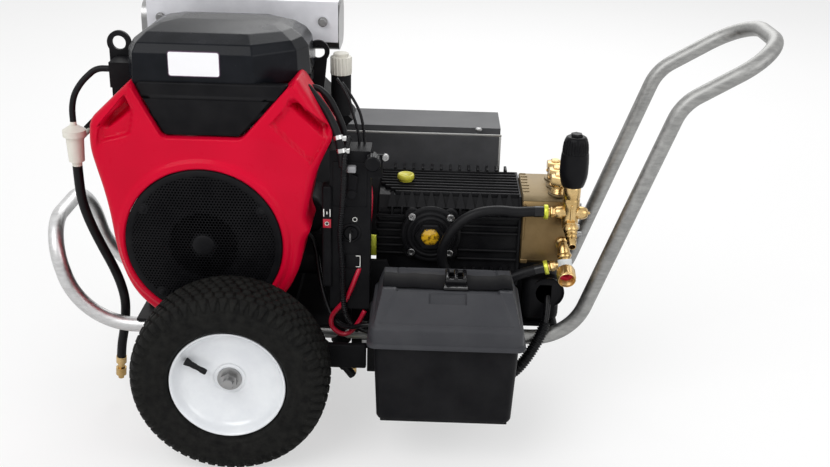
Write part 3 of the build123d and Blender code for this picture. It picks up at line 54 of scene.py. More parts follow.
def nodeBox(name):  # low and high corners of a CAD node, in millimetres from the axle
    low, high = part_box(name)
    shift = np.array([axleX, 0, 0])
    return (np.array(low) - shift) / mm, (np.array(high) - shift) / mm


def linked(name, data):  # a new object at the origin, put into the scene
    made = bpy.data.objects.new(name, data)
    bpy.context.scene.collection.objects.link(made)
    return made


def feed(tree, node, inputs):  # a value is set on its socket, an output socket is linked to it
    for key, value in inputs.items():
        if isinstance(value, bpy.types.NodeSocket):
            tree.links.new(value, node.inputs[key])
        else:
            node.inputs[key].default_value = value


def addNode(tree, kind, inputs, operation=None):  # a shader node with its inputs set or linked
    node = tree.nodes.new("ShaderNode" + kind)
    if operation:
        node.operation = operation
    feed(tree, node, inputs)
    return node


# camera, lamps and world
cameraPlan = {
    "place": (0.04234, -1.76924, 1.03408), "lens": 47.64, "sensor": 36.0,
    "down": 0.3955, "turn": 0.01143, "roll": 0.02696,
}


def makeCamera(plan):  # axes from pitch and yaw, then turned about the line of sight
    p, w, t = plan["down"], plan["turn"], plan["roll"]
    forward = np.array([-math.sin(w) * math.cos(p), math.cos(w) * math.cos(p), -math.sin(p)])
    side = np.array([math.cos(w), math.sin(w), 0.0])
    up = np.cross(side, forward)
    right = math.cos(t) * side + math.sin(t) * up
    top = -math.sin(t) * side + math.cos(t) * up
    data = bpy.data.cameras.new("camera")
    data.lens, data.sensor_width = plan["lens"], plan["sensor"]
    data.clip_start, data.clip_end = 0.05, 60
    made = linked("camera", data)
    axes = Matrix((right, top, -forward)).transposed().to_4x4()
    axes.translation = plan["place"]
    made.matrix_world = axes
    bpy.context.scene.camera = made


makeCamera(cameraPlan)

lampPlan = {
    "key": {"place": (-1.6, -2.4, 3.0), "size": 2.6, "power": 62.0},
    "fill": {"place": (2.6, -2.0, 1.9), "size": 2.4, "power": 26.0},
    "back": {"place": (0.3, 2.6, 2.6), "size": 2.6, "power": 40.0},
    "world": 0.62, "backdrop": 1.0, "floor": (0.93, 0.93, 0.93), "floorLift": 0.55,
}


def addLamp(name, plan, aim=(0, 0, 0.3)):  # round area lamp whose axis runs from its place to the aim
    data = bpy.data.lights.new(name, "AREA")
    data.shape, data.size, data.energy = "DISK", plan["size"], plan["power"]
    made = linked(name, data)
    behind = np.array(plan["place"]) - np.array(aim)
    behind /= np.linalg.norm(behind)
    side = np.cross([0, 0, 1.0], behind)
    side /= np.linalg.norm(side)
    axes = Matrix((side, np.cross(behind, side), behind)).transposed().to_4x4()
    axes.translation = plan["place"]
    made.matrix_world = axes


for lampName in ("key", "fill", "back"):
    addLamp(lampName + "Lamp", lampPlan[lampName])


def addWorld(plan):  # grey light on the object, white where the camera, a gloss or a glass looks
    world = bpy.data.worlds.new("studio")
    bpy.context.scene.world = world
    world.use_nodes = True
    tree = world.node_tree
    tree.nodes.clear()
    path = addNode(tree, "LightPath", {})
    light = addNode(tree, "Background", {"Strength": plan["world"], "Color": (1, 1, 1, 1)})
    seen = addNode(tree, "Background", {"Strength": plan["backdrop"], "Color": (1, 1, 1, 1)})
    total = path.outputs["Is Camera Ray"]
    for name in ("Is Glossy Ray", "Is Transmission Ray"):
        total = addNode(tree, "Math", {0: total, 1: path.outputs[name]}, "MAXIMUM").outputs[0]
    mix = addNode(tree, "MixShader", {0: total, 1: light.outputs[0], 2: seen.outputs[0]})
    addNode(tree, "OutputWorld", {"Surface": mix.outputs[0]})


addWorld(lampPlan)
bpy.context.scene.view_settings.view_transform = "Standard"


# mesh helpers
def gridQuads(rows, cols, closeRows=False, closeCols=False):  # corner numbers of a rows x cols grid
    r = np.arange(rows if closeRows else rows - 1)
    c = np.arange(cols if closeCols else cols - 1)
    r, c = np.meshgrid(r, c, indexing="ij")
    r2, c2 = (r + 1) % rows, (c + 1) % cols
    return np.stack([r * cols + c, r * cols + c2, r2 * cols + c2, r2 * cols + c], -1).reshape(-1, 4)


def endFaces(rows, cols):  # flat ends of a lofted grid: its first row turned round, and its last row
    return [list(range(cols))[::-1], [(rows - 1) * cols + i for i in range(cols)]]


def addMesh(name, points, faces, look, body="chassis", slot=None, smooth=True, sharp=None):
    # points in millimetres made into a mesh that rides a body; the slot argument is not used
    mesh = bpy.data.meshes.new(name)
    faces = faces if isinstance(faces, list) else faces.tolist()
    mesh.from_pydata(places(np.asarray(points, float).reshape(-1, 3)).tolist(), [], faces)
    mesh.validate()
    mesh.materials.append(finish[look])
    if smooth:
        mesh.shade_smooth()
    if sharp:
        mesh.set_sharp_from_angle(angle=math.radians(sharp))
    made = linked(name, mesh)
    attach(made, body)
    return made


def joinParts(parts):  # (points, faces) pairs laid into one list of each
    points, faces, start = [], [], 0
    for p, f in parts:
        p = np.asarray(p, float).reshape(-1, 3)
        points.append(p)
        faces += [[i + start for i in face] for face in (f if isinstance(f, list) else f.tolist())]
        start += len(p)
    return np.concatenate(points), faces


def addParts(name, parts, *more, **options):  # several forms as one mesh
    return addMesh(name, *joinParts(parts), *more, **options)


def unit(v):  # each vector divided by its length
    v = np.asarray(v, float)
    return v / np.linalg.norm(v, axis=-1, keepdims=True)


def acrossAxes(direction):  # two unit vectors square to a direction and to each other
    d = unit(direction)
    helper = np.array([0, 0, 1.0]) if abs(d[2]) < 0.9 else np.array([1.0, 0, 0])
    first = unit(np.cross(helper, d))
    return first, np.cross(d, first)


def turnedForm(profile, centre, axis, count=48):  # circle of radius r at each height h of the profile
    profile = np.asarray(profile, float)
    a, b = acrossAxes(axis)
    turn = np.linspace(0, 2 * np.pi, count, endpoint=False)
    around = np.cos(turn)[:, None] * a + np.sin(turn)[:, None] * b
    rings = profile[:, 0, None, None] * around + (profile[:, 1, None] * unit(axis))[:, None]
    faces = gridQuads(len(profile), count, closeCols=True).tolist()
    points = (rings + np.asarray(centre)).reshape(-1, 3)
    apart = profile[[0, -1], 0] > 1e-7  # an end away from the axis is closed with a flat face
    faces += [end for end, needed in zip(endFaces(len(profile), count), apart) if needed]
    return points, faces


def roundedBox(low, high, radius, cuts):  # eight sphere corners pulled apart, joined as a lofted grid
    low, high = np.asarray(low, float), np.asarray(high, float)
    centre, half = (low + high) / 2, (high - low) / 2
    radius = min(radius, half.min() * 0.98)
    quarter = np.linspace(0, np.pi / 2, cuts + 1)
    lift = np.concatenate([np.linspace(-np.pi / 2, 0, cuts + 1), np.linspace(0, np.pi / 2, cuts + 1)])
    turn = np.concatenate([quarter + k * np.pi / 2 for k in range(4)])
    quadrant = np.repeat(np.arange(4), cuts + 1)
    signX = np.where((quadrant == 0) | (quadrant == 3), 1, -1)
    signY = np.where(quadrant < 2, 1, -1)
    signZ = np.repeat([-1, 1], cuts + 1)
    core = half - radius
    x = signX[None] * core[0] + radius * np.cos(lift)[:, None] * np.cos(turn)[None]
    y = signY[None] * core[1] + radius * np.cos(lift)[:, None] * np.sin(turn)[None]
    z = signZ[:, None] * core[2] + radius * np.sin(lift)[:, None] + 0 * x
    rows, cols = x.shape
    faces = gridQuads(rows, cols, closeCols=True).tolist() + endFaces(rows, cols)
    return np.stack([x, y, z], -1).reshape(-1, 3) + centre, faces


def outlineSlab(outline, near, far, bevel):  # flat outline in x and z carried from near y to far y
    outline = np.asarray(outline, float)
    after, before = np.roll(outline, -1, 0), np.roll(outline, 1, 0)
    normal = unit(after - before)[:, ::-1] * [1, -1]
    area = np.sum(outline[:, 0] * after[:, 1] - after[:, 0] * outline[:, 1])
    normal = normal if area > 0 else -normal
    inner = outline - normal * bevel
    loops = [(inner, near), (outline, near + bevel), (outline, far - bevel), (inner, far)]
    points = np.concatenate([np.stack([o[:, 0], np.full(len(o), y), o[:, 1]], -1) for o, y in loops])
    count = len(outline)
    faces = gridQuads(4, count, closeCols=True).tolist() + endFaces(4, count)
    if area > 0:
        return points, faces
    return points, [f[::-1] for f in faces]


def routeCurve(name, points, samples):  # open quadratic NURBS spline with the route's points as its own
    data = bpy.data.curves.new(name, "CURVE")
    data.dimensions, data.resolution_u = "3D", samples
    line = data.splines.new("NURBS")
    line.points.add(len(points) - 1)
    line.points.foreach_set("co", np.c_[points, np.ones(len(points))].ravel())
    line.order_u, line.use_endpoint_u = 3, True
    return data


def smoothPath(points, samples):  # points read from the route's spline
    data = routeCurve("route", points, samples)
    holder = bpy.data.objects.new("route", data)
    mesh = bpy.data.meshes.new_from_object(holder)
    co = np.zeros(len(mesh.vertices) * 3)
    mesh.vertices.foreach_get("co", co)
    bpy.data.objects.remove(holder)
    bpy.data.meshes.remove(mesh)
    bpy.data.curves.remove(data)
    return co.reshape(-1, 3)


def evenPath(path, step):  # the same line with points a fixed length apart
    gaps = np.linalg.norm(np.diff(path, axis=0), axis=1)
    along = np.r_[0, np.cumsum(gaps)]
    count = max(2, int(round(along[-1] / step)) + 1)
    want = np.linspace(0, along[-1], count)
    return np.stack([np.interp(want, along, path[:, k]) for k in range(3)], -1)


def carriedSection(path, radii, sides=14):  # circle of the given radius at each path point
    path, radii = np.asarray(path, float), np.broadcast_to(radii, len(path))
    tangent = unit(np.gradient(path, axis=0))
    first = np.zeros_like(path)
    first[0] = acrossAxes(tangent[0])[0]
    for i in range(1, len(path)):  # the frame is carried along without twist
        step = first[i - 1] - tangent[i] * np.dot(first[i - 1], tangent[i])
        first[i] = unit(step)
    second = np.cross(tangent, first)
    turn = np.linspace(0, 2 * np.pi, sides, endpoint=False)
    ring = np.cos(turn)[None, :, None] * first[:, None] + np.sin(turn)[None, :, None] * second[:, None]
    points = (path[:, None] + ring * radii[:, None, None]).reshape(-1, 3)
    return points, gridQuads(len(path), sides, closeCols=True).tolist() + endFaces(len(path), sides)


# finishes
def startFinish(name, colour, rough, metal=0.0, coat=0.0, coatRough=0.1, sheen=0.0, specular=0.5):
    # principled shader with its plain values, and the coordinates that its noises read
    made = bpy.data.materials.new(name)
    made.use_nodes = True
    tree = made.node_tree
    shader = tree.nodes["Principled BSDF"]
    feed(tree, shader, {
        "Base Color": (*colour, 1), "Roughness": rough, "Metallic": metal, "Coat Weight": coat,
        "Coat Roughness": coatRough, "Sheen Weight": sheen, "Specular IOR Level": specular,
    })
    return made, tree, shader, addNode(tree, "TexCoord", {}).outputs["Object"]


def stretched(tree, where, scale):  # coordinates multiplied along each axis
    return addNode(tree, "Mapping", {"Vector": where, "Scale": scale}).outputs["Vector"]


def noiseOf(tree, where, scale, detail=3.0, rough=0.5, stretch=None):
    # noise of the given scale, drawn out along an axis when a stretch is given
    where = stretched(tree, where, stretch) if stretch else where
    settings = {"Vector": where, "Scale": scale, "Detail": detail, "Roughness": rough}
    return addNode(tree, "TexNoise", settings).outputs["Fac"]


def product(tree, first, second):  # first times second
    return addNode(tree, "Math", {0: first, 1: second}, "MULTIPLY").outputs[0]


def mixColours(tree, factor, low, high, fromLow=0.35, fromHigh=0.65):
    # colour runs from low to high while the factor runs from fromLow to fromHigh
    ramp = addNode(tree, "ValToRGB", {"Fac": factor})
    for stop, place, colour in zip(ramp.color_ramp.elements, (fromLow, fromHigh), (low, high)):
        stop.position, stop.color = place, (*colour, 1)
    return ramp.outputs["Color"]


def rangeOf(tree, factor, low, high, fromLow=0.3, fromHigh=0.7):
    # the factor's range carried to the range low to high
    settings = {
        "Value": factor, "From Min": fromLow, "From Max": fromHigh, "To Min": low, "To Max": high
    }
    return addNode(tree, "MapRange", settings).outputs["Result"]


def bumpFrom(tree, shader, height, strength, depth):  # height times strength, as a slope of the surface
    bump = addNode(tree, "Bump", {"Height": height, "Strength": strength, "Distance": depth})
    feed(tree, shader, {"Normal": bump.outputs["Normal"]})


def mottled(name, low, high, rough, grain, grainDepth, metal=0.0, coat=0.0, **more):
    # colour and gloss wander with a broad noise, and a fine noise gives the surface its grain
    made, tree, shader, where = startFinish(name, low, rough[0], metal, coat, **more)
    broad = noiseOf(tree, where, 18.0, 4, 0.6)
    feed(tree, shader, {
        "Base Color": mixColours(tree, broad, low, high), "Roughness": rangeOf(tree, broad, *rough)
    })
    bumpFrom(tree, shader, noiseOf(tree, where, grain, 3, 0.6), 0.6, grainDepth)
    return made


def brushedMetal(name, low, high, rough, stretch, depth):
    # a noise drawn out along the grain tints the metal and roughens it, with faint scratches
    made, tree, shader, where = startFinish(name, low, rough[0], 1.0)
    grain = noiseOf(tree, where, 40, 5, 0.65, stretch)
    both = product(tree, grain, rangeOf(tree, noiseOf(tree, where, 7, 3, 0.5), 0.85, 1.15))
    feed(tree, shader, {
        "Base Color": mixColours(tree, both, low, high), "Roughness": rangeOf(tree, grain, *rough)
    })
    bumpFrom(tree, shader, grain, 0.5, depth)
    return made


def brassFinish(name, low, high, rough, grain, depth):
    # machined brass with browner patches in the recesses
    made, tree, shader, where = startFinish(name, low, rough[0], 1.0)
    patch = noiseOf(tree, where, 26, 4, 0.6)
    tint = mixColours(tree, patch, low, high, 0.3, 0.6)
    feed(tree, shader, {"Base Color": tint, "Roughness": rangeOf(tree, patch, *rough)})
    bumpFrom(tree, shader, noiseOf(tree, where, grain, 4, 0.65), 0.5, depth)
    return made


def coverRed(name):  # lacquered plastic: crimson under a thin clear coat, a little orange peel
    made, tree, shader, where = startFinish(
        name, (0.56, 0.003, 0.024), 0.4, 0.0, 0.05, 0.12, specular=0.06
    )
    tint = mixColours(
        tree, noiseOf(tree, where, 6, 2, 0.5), (0.52, 0.0015, 0.022), (0.62, 0.0025, 0.029)
    )
    gloss = rangeOf(tree, noiseOf(tree, where, 60, 3, 0.6), 0.26, 0.38)
    feed(tree, shader, {"Base Color": tint, "Roughness": gloss})
    bumpFrom(tree, shader, noiseOf(tree, where, 260, 2, 0.5), 0.25, 0.0001)
    return made


def tyreRubber(name):  # dull black with road dust on the lugs and fine mould grain
    made, tree, shader, where = startFinish(name, (0.004, 0.004, 0.004), 0.6, specular=0.07)
    dust = noiseOf(tree, where, 70, 6, 0.7)
    tint = mixColours(tree, dust, (0.004, 0.004, 0.004), (0.013, 0.013, 0.012))
    feed(tree, shader, {"Base Color": tint, "Roughness": rangeOf(tree, dust, 0.46, 0.72)})
    bumpFrom(tree, shader, noiseOf(tree, where, 900, 4, 0.7), 0.7, 0.0003)
    return made


def wovenBand(name):  # the product of two crossed waves is the weave
    made, tree, shader, where = startFinish(
        name, (0.006, 0.006, 0.007), 0.75, sheen=0.04, specular=0.08
    )
    waves = []
    for stretch in ((1, 0, 0), (0, 1, 0.6)):
        settings = {"Vector": stretched(tree, where, stretch), "Scale": 260, "Distortion": 0.6}
        waves.append(addNode(tree, "TexWave", settings).outputs["Fac"])
    weave = product(tree, *waves)
    tint = mixColours(tree, weave, (0.003, 0.003, 0.004), (0.014, 0.014, 0.016), 0.1, 0.8)
    feed(tree, shader, {"Base Color": tint})
    bumpFrom(tree, shader, weave, 0.8, 0.0005)
    return made


mottledPlan = {  # darkest and lightest colour, range of roughness, grain scale and depth, and the rest
    "blackPaint": (
        (0.006, 0.006, 0.007), (0.011, 0.011, 0.012), (0.32, 0.5), 420, 0.0002, {"specular": 0.1}
    ),
    "zincPlate": ((0.26, 0.26, 0.26), (0.38, 0.38, 0.38), (0.25, 0.42), 700, 0.0001, {"metal": 1.0}),
    "softRubber": (
        (0.004, 0.004, 0.005), (0.009, 0.009, 0.010), (0.34, 0.5), 800, 0.0001, {"specular": 0.14}
    ),
    "castBlack": (
        (0.005, 0.005, 0.006), (0.010, 0.010, 0.011), (0.3, 0.48), 900, 0.0004, {"specular": 0.11}
    ),
    "engineCast": (
        (0.005, 0.005, 0.006), (0.011, 0.011, 0.012), (0.42, 0.62), 700, 0.0004, {"specular": 0.07}
    ),
    "turnedSteel": ((0.45, 0.45, 0.45), (0.62, 0.62, 0.61), (0.2, 0.34), 900, 0.0001, {"metal": 1.0}),
    "mouldedBlack": (
        (0.005, 0.005, 0.006), (0.010, 0.010, 0.011), (0.36, 0.52), 1400, 0.0002, {"specular": 0.07}
    ),
    "castAluminium": ((0.42, 0.42, 0.42), (0.6, 0.6, 0.6), (0.4, 0.6), 900, 0.0004, {"metal": 1.0}),
    "filterPaper": ((0.62, 0.55, 0.36), (0.72, 0.66, 0.46), (0.8, 0.95), 900, 0.0003, {}),
    "whiteMoulded": ((0.62, 0.60, 0.53), (0.72, 0.70, 0.63), (0.35, 0.5), 900, 0.0001, {}),
    "greyMoulded": ((0.24, 0.24, 0.25), (0.32, 0.32, 0.33), (0.4, 0.55), 1200, 0.0001, {}),
    "ceramic": ((0.78, 0.78, 0.74), (0.86, 0.86, 0.82), (0.12, 0.2), 600, 0.00003, {}),
    "yellowGloss": ((0.62, 0.58, 0.05), (0.75, 0.70, 0.09), (0.25, 0.4), 900, 0.0001, {}),
    "whiteEnamel": ((0.70, 0.72, 0.75), (0.78, 0.80, 0.82), (0.16, 0.26), 500, 0.00005, {"coat": 0.5}),
    "loomPlastic": (
        (0.004, 0.004, 0.005), (0.009, 0.009, 0.010), (0.22, 0.36), 900, 0.0001, {"specular": 0.16}
    ),
    "redLead": ((0.40, 0.003, 0.02), (0.52, 0.006, 0.035), (0.3, 0.42), 900, 0.0001, {}),
    "boxPlastic": (
        (0.005, 0.005, 0.006), (0.010, 0.010, 0.011), (0.38, 0.5), 1500, 0.0003, {"specular": 0.07}
    ),
    "knobBlack": (
        (0.003, 0.003, 0.004), (0.006, 0.006, 0.007), (0.26, 0.4), 1300, 0.0002, {"specular": 0.1}
    ),
    "deepBlack": (
        (0.002, 0.002, 0.002), (0.004, 0.004, 0.004), (0.6, 0.8), 900, 0.0002, {"specular": 0.1}
    ),
    "keySteel": ((0.16, 0.16, 0.16), (0.24, 0.24, 0.24), (0.3, 0.45), 900, 0.0001, {"metal": 1.0}),
    # painted highlight: a light copy of the guard's dark sheet steel, for the bright line along its folded
    # edges
    "guardLip": ((0.30, 0.30, 0.29), (0.38, 0.38, 0.37), (0.34, 0.5), 700, 0.0001, {"metal": 0.85}),
    "lidPlastic": (
        (0.034, 0.035, 0.040), (0.044, 0.045, 0.050), (0.42, 0.56), 1500, 0.0003, {"specular": 0.2}
    ),
    "buckleGloss": (
        (0.003, 0.003, 0.004), (0.007, 0.007, 0.008), (0.1, 0.2), 900, 0.0001, {"specular": 0.3}
    ),
    "glossBlack": (
        (0.005, 0.006, 0.008), (0.009, 0.010, 0.013), (0.18, 0.3), 1300, 0.0001, {"specular": 0.1}
    ),
    "guardSheet": (
        (0.062, 0.063, 0.067), (0.082, 0.083, 0.088), (0.42, 0.55), 60, 0.00002,
        {"metal": 0.1, "specular": 0.2}
    ),
    "heatSheet": ((0.70, 0.70, 0.74), (0.80, 0.80, 0.84), (0.34, 0.46), 40, 0.00002, {"metal": 0.35}),
    "plateEdge": ((0.05, 0.02, 0.05), (0.08, 0.03, 0.08), (0.3, 0.4), 900, 0.0001, {}),
    "ferruleZinc": ((0.52, 0.55, 0.03), (0.66, 0.68, 0.08), (0.24, 0.4), 900, 0.0001, {"metal": 0.55}),
    "tapeWhite": ((0.60, 0.64, 0.66), (0.76, 0.79, 0.80), (0.6, 0.8), 900, 0.0004, {}),
    "washerRed": ((0.62, 0.01, 0.04), (0.74, 0.02, 0.07), (0.35, 0.5), 900, 0.0001, {}),
}
finish = {name: mottled(name, *values, **more) for name, (*values, more) in mottledPlan.items()}
tubeStretch, tubeScratch = (1, 4, 4), 0.00002
finish["tubeGrain"] = brushedMetal(
    "tubeGrain", (0.25, 0.25, 0.245), (0.36, 0.36, 0.35), (0.40, 0.56), tubeStretch, tubeScratch)
finish["loopGrain"] = brushedMetal(
    "loopGrain", (0.50, 0.50, 0.50), (0.64, 0.64, 0.64), (0.34, 0.48), tubeStretch, tubeScratch)
finish["machinedBrass"] = brassFinish(
    "machinedBrass", (0.42, 0.27, 0.10), (0.66, 0.47, 0.22), (0.2, 0.34), 500, 0.0001)
# painted shade: the head block's brass is darkened to stand in for the shadow on its near face
finish["headBrass"] = brassFinish(
    "headBrass", (0.15, 0.10, 0.045), (0.21, 0.145, 0.07), (0.42, 0.56), 320, 0.0002)
# painted light: a lighter copy of the head's brass for its top plate, standing in for light on the top
# face
finish["headTop"] = brassFinish(
    "headTop", (0.15, 0.115, 0.065), (0.22, 0.17, 0.10), (0.42, 0.56), 260, 0.0002)
for make in (coverRed, tyreRubber, wovenBand):
    finish[make.__name__] = make(make.__name__)
print("finishes ready:", len(finish))

nodeFinish = {
    "front_loop_tube": "loopGrain", "handle_tube": "tubeGrain", "side_rails": "tubeGrain",
    "base_plate": "blackPaint", "axle": "zincPlate", "frame_fasteners": "zincPlate",
    "stand_legs": "blackPaint", "stand_feet": "softRubber", "pump_risers": "blackPaint",
    "near_tyre": "tyreRubber", "far_tyre": "tyreRubber", "near_rim": "whiteEnamel",
    "far_rim": "whiteEnamel", "engine_crankcase": "engineCast", "crankshaft": "turnedSteel",
    "cylinders": "engineCast", "rocker_covers": "engineCast", "flywheel_fan": "mouldedBlack",
    "fan_cover": "coverRed", "intake_grille": "mouldedBlack", "carburettor": "castAluminium",
    "air_cleaner_base": "mouldedBlack", "filter_element": "filterPaper",
    "air_cleaner_cover": "glossBlack", "muffler": "zincPlate", "heat_shield": "heatSheet",
    "lifting_eyes": "blackPaint", "oil_cap": "whiteMoulded", "oil_filter": "blackPaint",
    "starter_motor": "blackPaint", "control_panel": "mouldedBlack", "throttle_lever": "greyMoulded",
    "choke_knob": "mouldedBlack", "key_switch": "turnedSteel", "fuel_filter": "whiteMoulded",
    "engine_hoses": "softRubber", "fuel_supply_hose": "softRubber",
    "fuel_hose_fitting": "machinedBrass", "engine_pulley": "turnedSteel",
    "pump_pulley": "castBlack", "drive_belts": "softRubber", "belt_guard": "guardSheet",
    "pump_crankcase": "castBlack", "pump_cover": "castBlack", "pump_shaft": "turnedSteel",
    "plungers": "ceramic", "pump_head": "headBrass", "valve_caps": "machinedBrass",
    "dipstick_cap": "yellowGloss", "unloader_valve": "machinedBrass",
    "unloader_knob": "mouldedBlack", "bypass_hose": "softRubber", "inlet_elbow": "machinedBrass",
    "inlet_nut": "machinedBrass", "battery_tray": "blackPaint", "battery_case": "boxPlastic",
    "battery": "mouldedBlack", "battery_lid": "boxPlastic", "lid_strap": "wovenBand",
    "wiring": "loomPlastic",
}
for nodeName, finishName in nodeFinish.items():
    nodes[nodeName].data.materials.clear()
    nodes[nodeName].data.materials.append(finish[finishName])
print("CAD nodes dressed:", len(nodeFinish), "of", len(nodes))


# floor
def addFloor(colour, half=9.0):  # one square under the wheels, in the backdrop's colour
    made, tree, shader, where = startFinish("paleFloor", colour, 0.9, specular=0.1)
    near = tuple(c * 0.985 for c in colour)
    feed(tree, shader, {"Base Color": mixColours(tree, noiseOf(tree, where, 1.2, 2), near, colour)})
    share = product(
        tree, addNode(tree, "LightPath", {}).outputs["Is Camera Ray"], lampPlan["floorLift"]
    )
    glow = addNode(tree, "Emission", {})
    both = addNode(tree, "MixShader", {0: share, 1: shader.outputs[0], 2: glow.outputs[0]})
    feed(tree, tree.nodes["Material Output"], {"Surface": both.outputs[0]})
    mesh = bpy.data.meshes.new("floor")
    level = -0.0005
    corners = [(-half, -half, level), (half, -half, level), (half, half, level), (-half, half, level)]
    mesh.from_pydata(corners, [], [(0, 1, 2, 3)])
    mesh.materials.append(made)
    linked("floor", mesh)


addFloor(lampPlan["floor"])

# the free fuel hose
supplyHose = {
    "diameter": 0.016, "length": 0.371,
    "route": [
        (-267, -100, 438), (-267, -100, 411), (-267, -96, 381), (-263, -89, 348), (-255, -83, 316),
        (-244, -79, 284), (-231, -77, 252), (-220, -77, 220), (-214, -78, 188), (-216, -79, 156),
        (-221, -80, 126), (-227, -80, 100), (-229, -80, 78),
    ],
}


def addCord(name, plan, replaced):
    # the hose bent along its route as a bevelled curve
    points = places(plan["route"])
    data = routeCurve(name, points, 12)
    data.bevel_depth, data.bevel_resolution, data.use_fill_caps = plan["diameter"] / 2, 6, True
    data.materials.append(finish["softRubber"])
    made = linked(name, data)
    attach(made, "chassis")
    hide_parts(replaced)


addCord("hangingFuelHose", supplyHose, "fuel_supply_hose")
print("free hose laid")

# wheels
tyrePlan = {
    "middle": 260.5, "crownRadius": 152.2, "lugs": 60, "lugHeight": 3.9, "around": 720, "step": 2.0,
    "side": [  # radius and distance from the wheel's own middle plane, crown first
        (152.2, 0), (151.9, 14), (150.6, 27), (147.6, 37), (142.2, 44.5), (135.4, 49), (127, 51.4),
        (117, 51.8), (108, 50.2), (101.5, 47.6), (99.5, 48.8), (97.0, 48.8), (95.0, 46.0), (93.0, 43.0),
        (91.8, 39.0), (90.6, 36.5), (89.4, 33.0), (88.8, 29.0),
    ],
    "liner": [
        (88.8, 25), (100, 30), (118, 42), (138, 26), (140, 0), (138, -26), (118, -42), (100, -30),
        (88.8, -25)
    ],
    "sideSoft": 1.2, "endSoft": 0.9, "taperFrom": 42, "taper": 0.22, "taperMost": 3.4,
    "rows": [  # place across the tread, half width, stagger in lugs, half length along the tread
        (0, 5.2, 0.0, 6.0), (13.6, 5.4, 0.5, 6.0), (-13.6, 5.4, 0.5, 6.0), (28.2, 5.8, 0.0, 6.2),
        (-28.2, 5.8, 0.0, 6.2), (47.5, 11.6, 0.5, 6.6), (-47.5, 11.6, 0.5, 6.6),
    ],
}


def lugField(across, turn, plan):  # for every row, a soft step across times a soft step along
    pitch = 2 * np.pi / plan["lugs"]
    field = np.zeros(np.broadcast(across, turn).shape)
    for place, half, stagger, reach in plan["rows"]:
        side = np.clip((half - np.abs(across - place)) / plan["sideSoft"], 0, 1)
        gap = ((turn / pitch + stagger) % 1 - 0.5) * pitch * plan["crownRadius"]
        narrow = np.clip((np.abs(across) - plan["taperFrom"]) * plan["taper"], 0, plan["taperMost"])
        field = np.maximum(field, side * np.clip(
            (reach - narrow - np.abs(gap)) / plan["endSoft"], 0, 1
        ))
    return field


def tyreForm(plan, sign):
    # the side profile is carried round the axle, and the lug field pushes it out along its normal
    half = np.array(plan["side"], float)
    whole = np.r_[half[::-1] * [1, -1], half[1:]]
    gaps = np.r_[0, np.cumsum(np.linalg.norm(np.diff(whole, axis=0), axis=1))]
    count = int(gaps[-1] / plan["step"])
    want = np.linspace(0, gaps[-1], count)
    line = np.stack([np.interp(want, gaps, whole[:, k]) for k in (0, 1)], -1)
    soft = np.array([0.25, 0.5, 0.25])
    line[1:-1] = np.stack([np.convolve(line[:, k], soft, "valid") for k in (0, 1)], -1)
    across = want - gaps[-1] / 2
    slope = unit(np.gradient(line, axis=0))
    normal = np.stack([slope[:, 1], -slope[:, 0]], -1)
    turn = np.linspace(0, 2 * np.pi, plan["around"], endpoint=False)
    lugs = lugField(across[None, :], turn[:, None], plan) * plan["lugHeight"]
    lugs = lugs * np.clip(1.25 - np.abs(across) / 160, 0.6, 1.06)
    radius = np.minimum(line[:, 0] + lugs * normal[:, 0], axleZ / mm - 0.05)
    width = line[:, 1] + lugs * normal[:, 1]
    liner = np.array(plan["liner"])
    radius = np.c_[radius, np.tile(liner[:, 0], (len(turn), 1))]
    width = np.c_[width, np.tile(liner[:, 1], (len(turn), 1))]
    points = np.stack([
        radius * np.cos(turn)[:, None], width + sign * plan["middle"],
        radius * np.sin(turn)[:, None] + axleZ / mm,
    ], -1)
    rows, cols = radius.shape
    return points.reshape(-1, 3), gridQuads(rows, cols, True, True)


rimPlan = {
    "middle": 260.5, "around": 112,
    "profile": [  # radius and distance outwards from the wheel's middle plane
        (8.3, 0), (8.3, 17.2), (14, 17.2), (14.6, 16.6), (17, 16.6), (17.6, 17.2), (23.2, 17.3),
        (23.8, 16.4), (24.6, 16.4), (25.4, 17.4), (27.5, 17.8), (30, 17.4), (36, 16.6), (50, 17.2),
        (62, 18.6), (70, 19.8), (75, 21.4), (79, 24.0), (82, 28.2), (84.2, 33), (86.0, 38.0),
        (87.2, 40.6), (88.8, 41.6), (90.2, 41.2), (90.6, 39.8), (89.2, 37.6), (87.6, 33.4),
        (85.6, 28), (82.6, 22.8), (78.6, 19.4), (74, 17.6), (71, 12), (70, 0),
    ],
    "valve": {"turn": 153, "from": 70, "to": 37, "radius": 4.6, "out": 27.5},
}


def rimForm(plan, sign):
    # the pressed half-rim outline is turned about the axle, and again mirrored behind
    outer = np.array(plan["profile"], float)
    whole = np.r_[outer, (outer * [1, -1])[::-1][1:], outer[:1]]
    points, faces = turnedForm(whole, (0, sign * plan["middle"], axleZ / mm), (0, 1, 0), plan["around"])
    faces = [f for f in faces if len(f) == 4]
    return points, faces


def valveForm(plan, sign):  # stepped round stem that leans from the rim towards the axle
    v = plan["valve"]
    a = math.radians(v["turn"])
    way = np.array([math.cos(a), 0, math.sin(a)])
    centre = np.array([0, sign * (plan["middle"] + v["out"]), axleZ / mm])
    start = centre + way * v["from"]
    lean = unit(-way + np.array([0, sign * 0.12, 0]))
    reach = v["from"] - v["to"]
    r = v["radius"]
    profile = [
        (0, -4), (r + 1.6, -4), (r + 1.6, -1), (r + 0.9, 2), (r, 6), (r, 14), (r * 0.86, 15),
        (r * 0.86, 22), (r, 23), (r, reach - 2), (r - 1, reach), (0, reach)
    ]
    return turnedForm(profile, start, lean, 20)


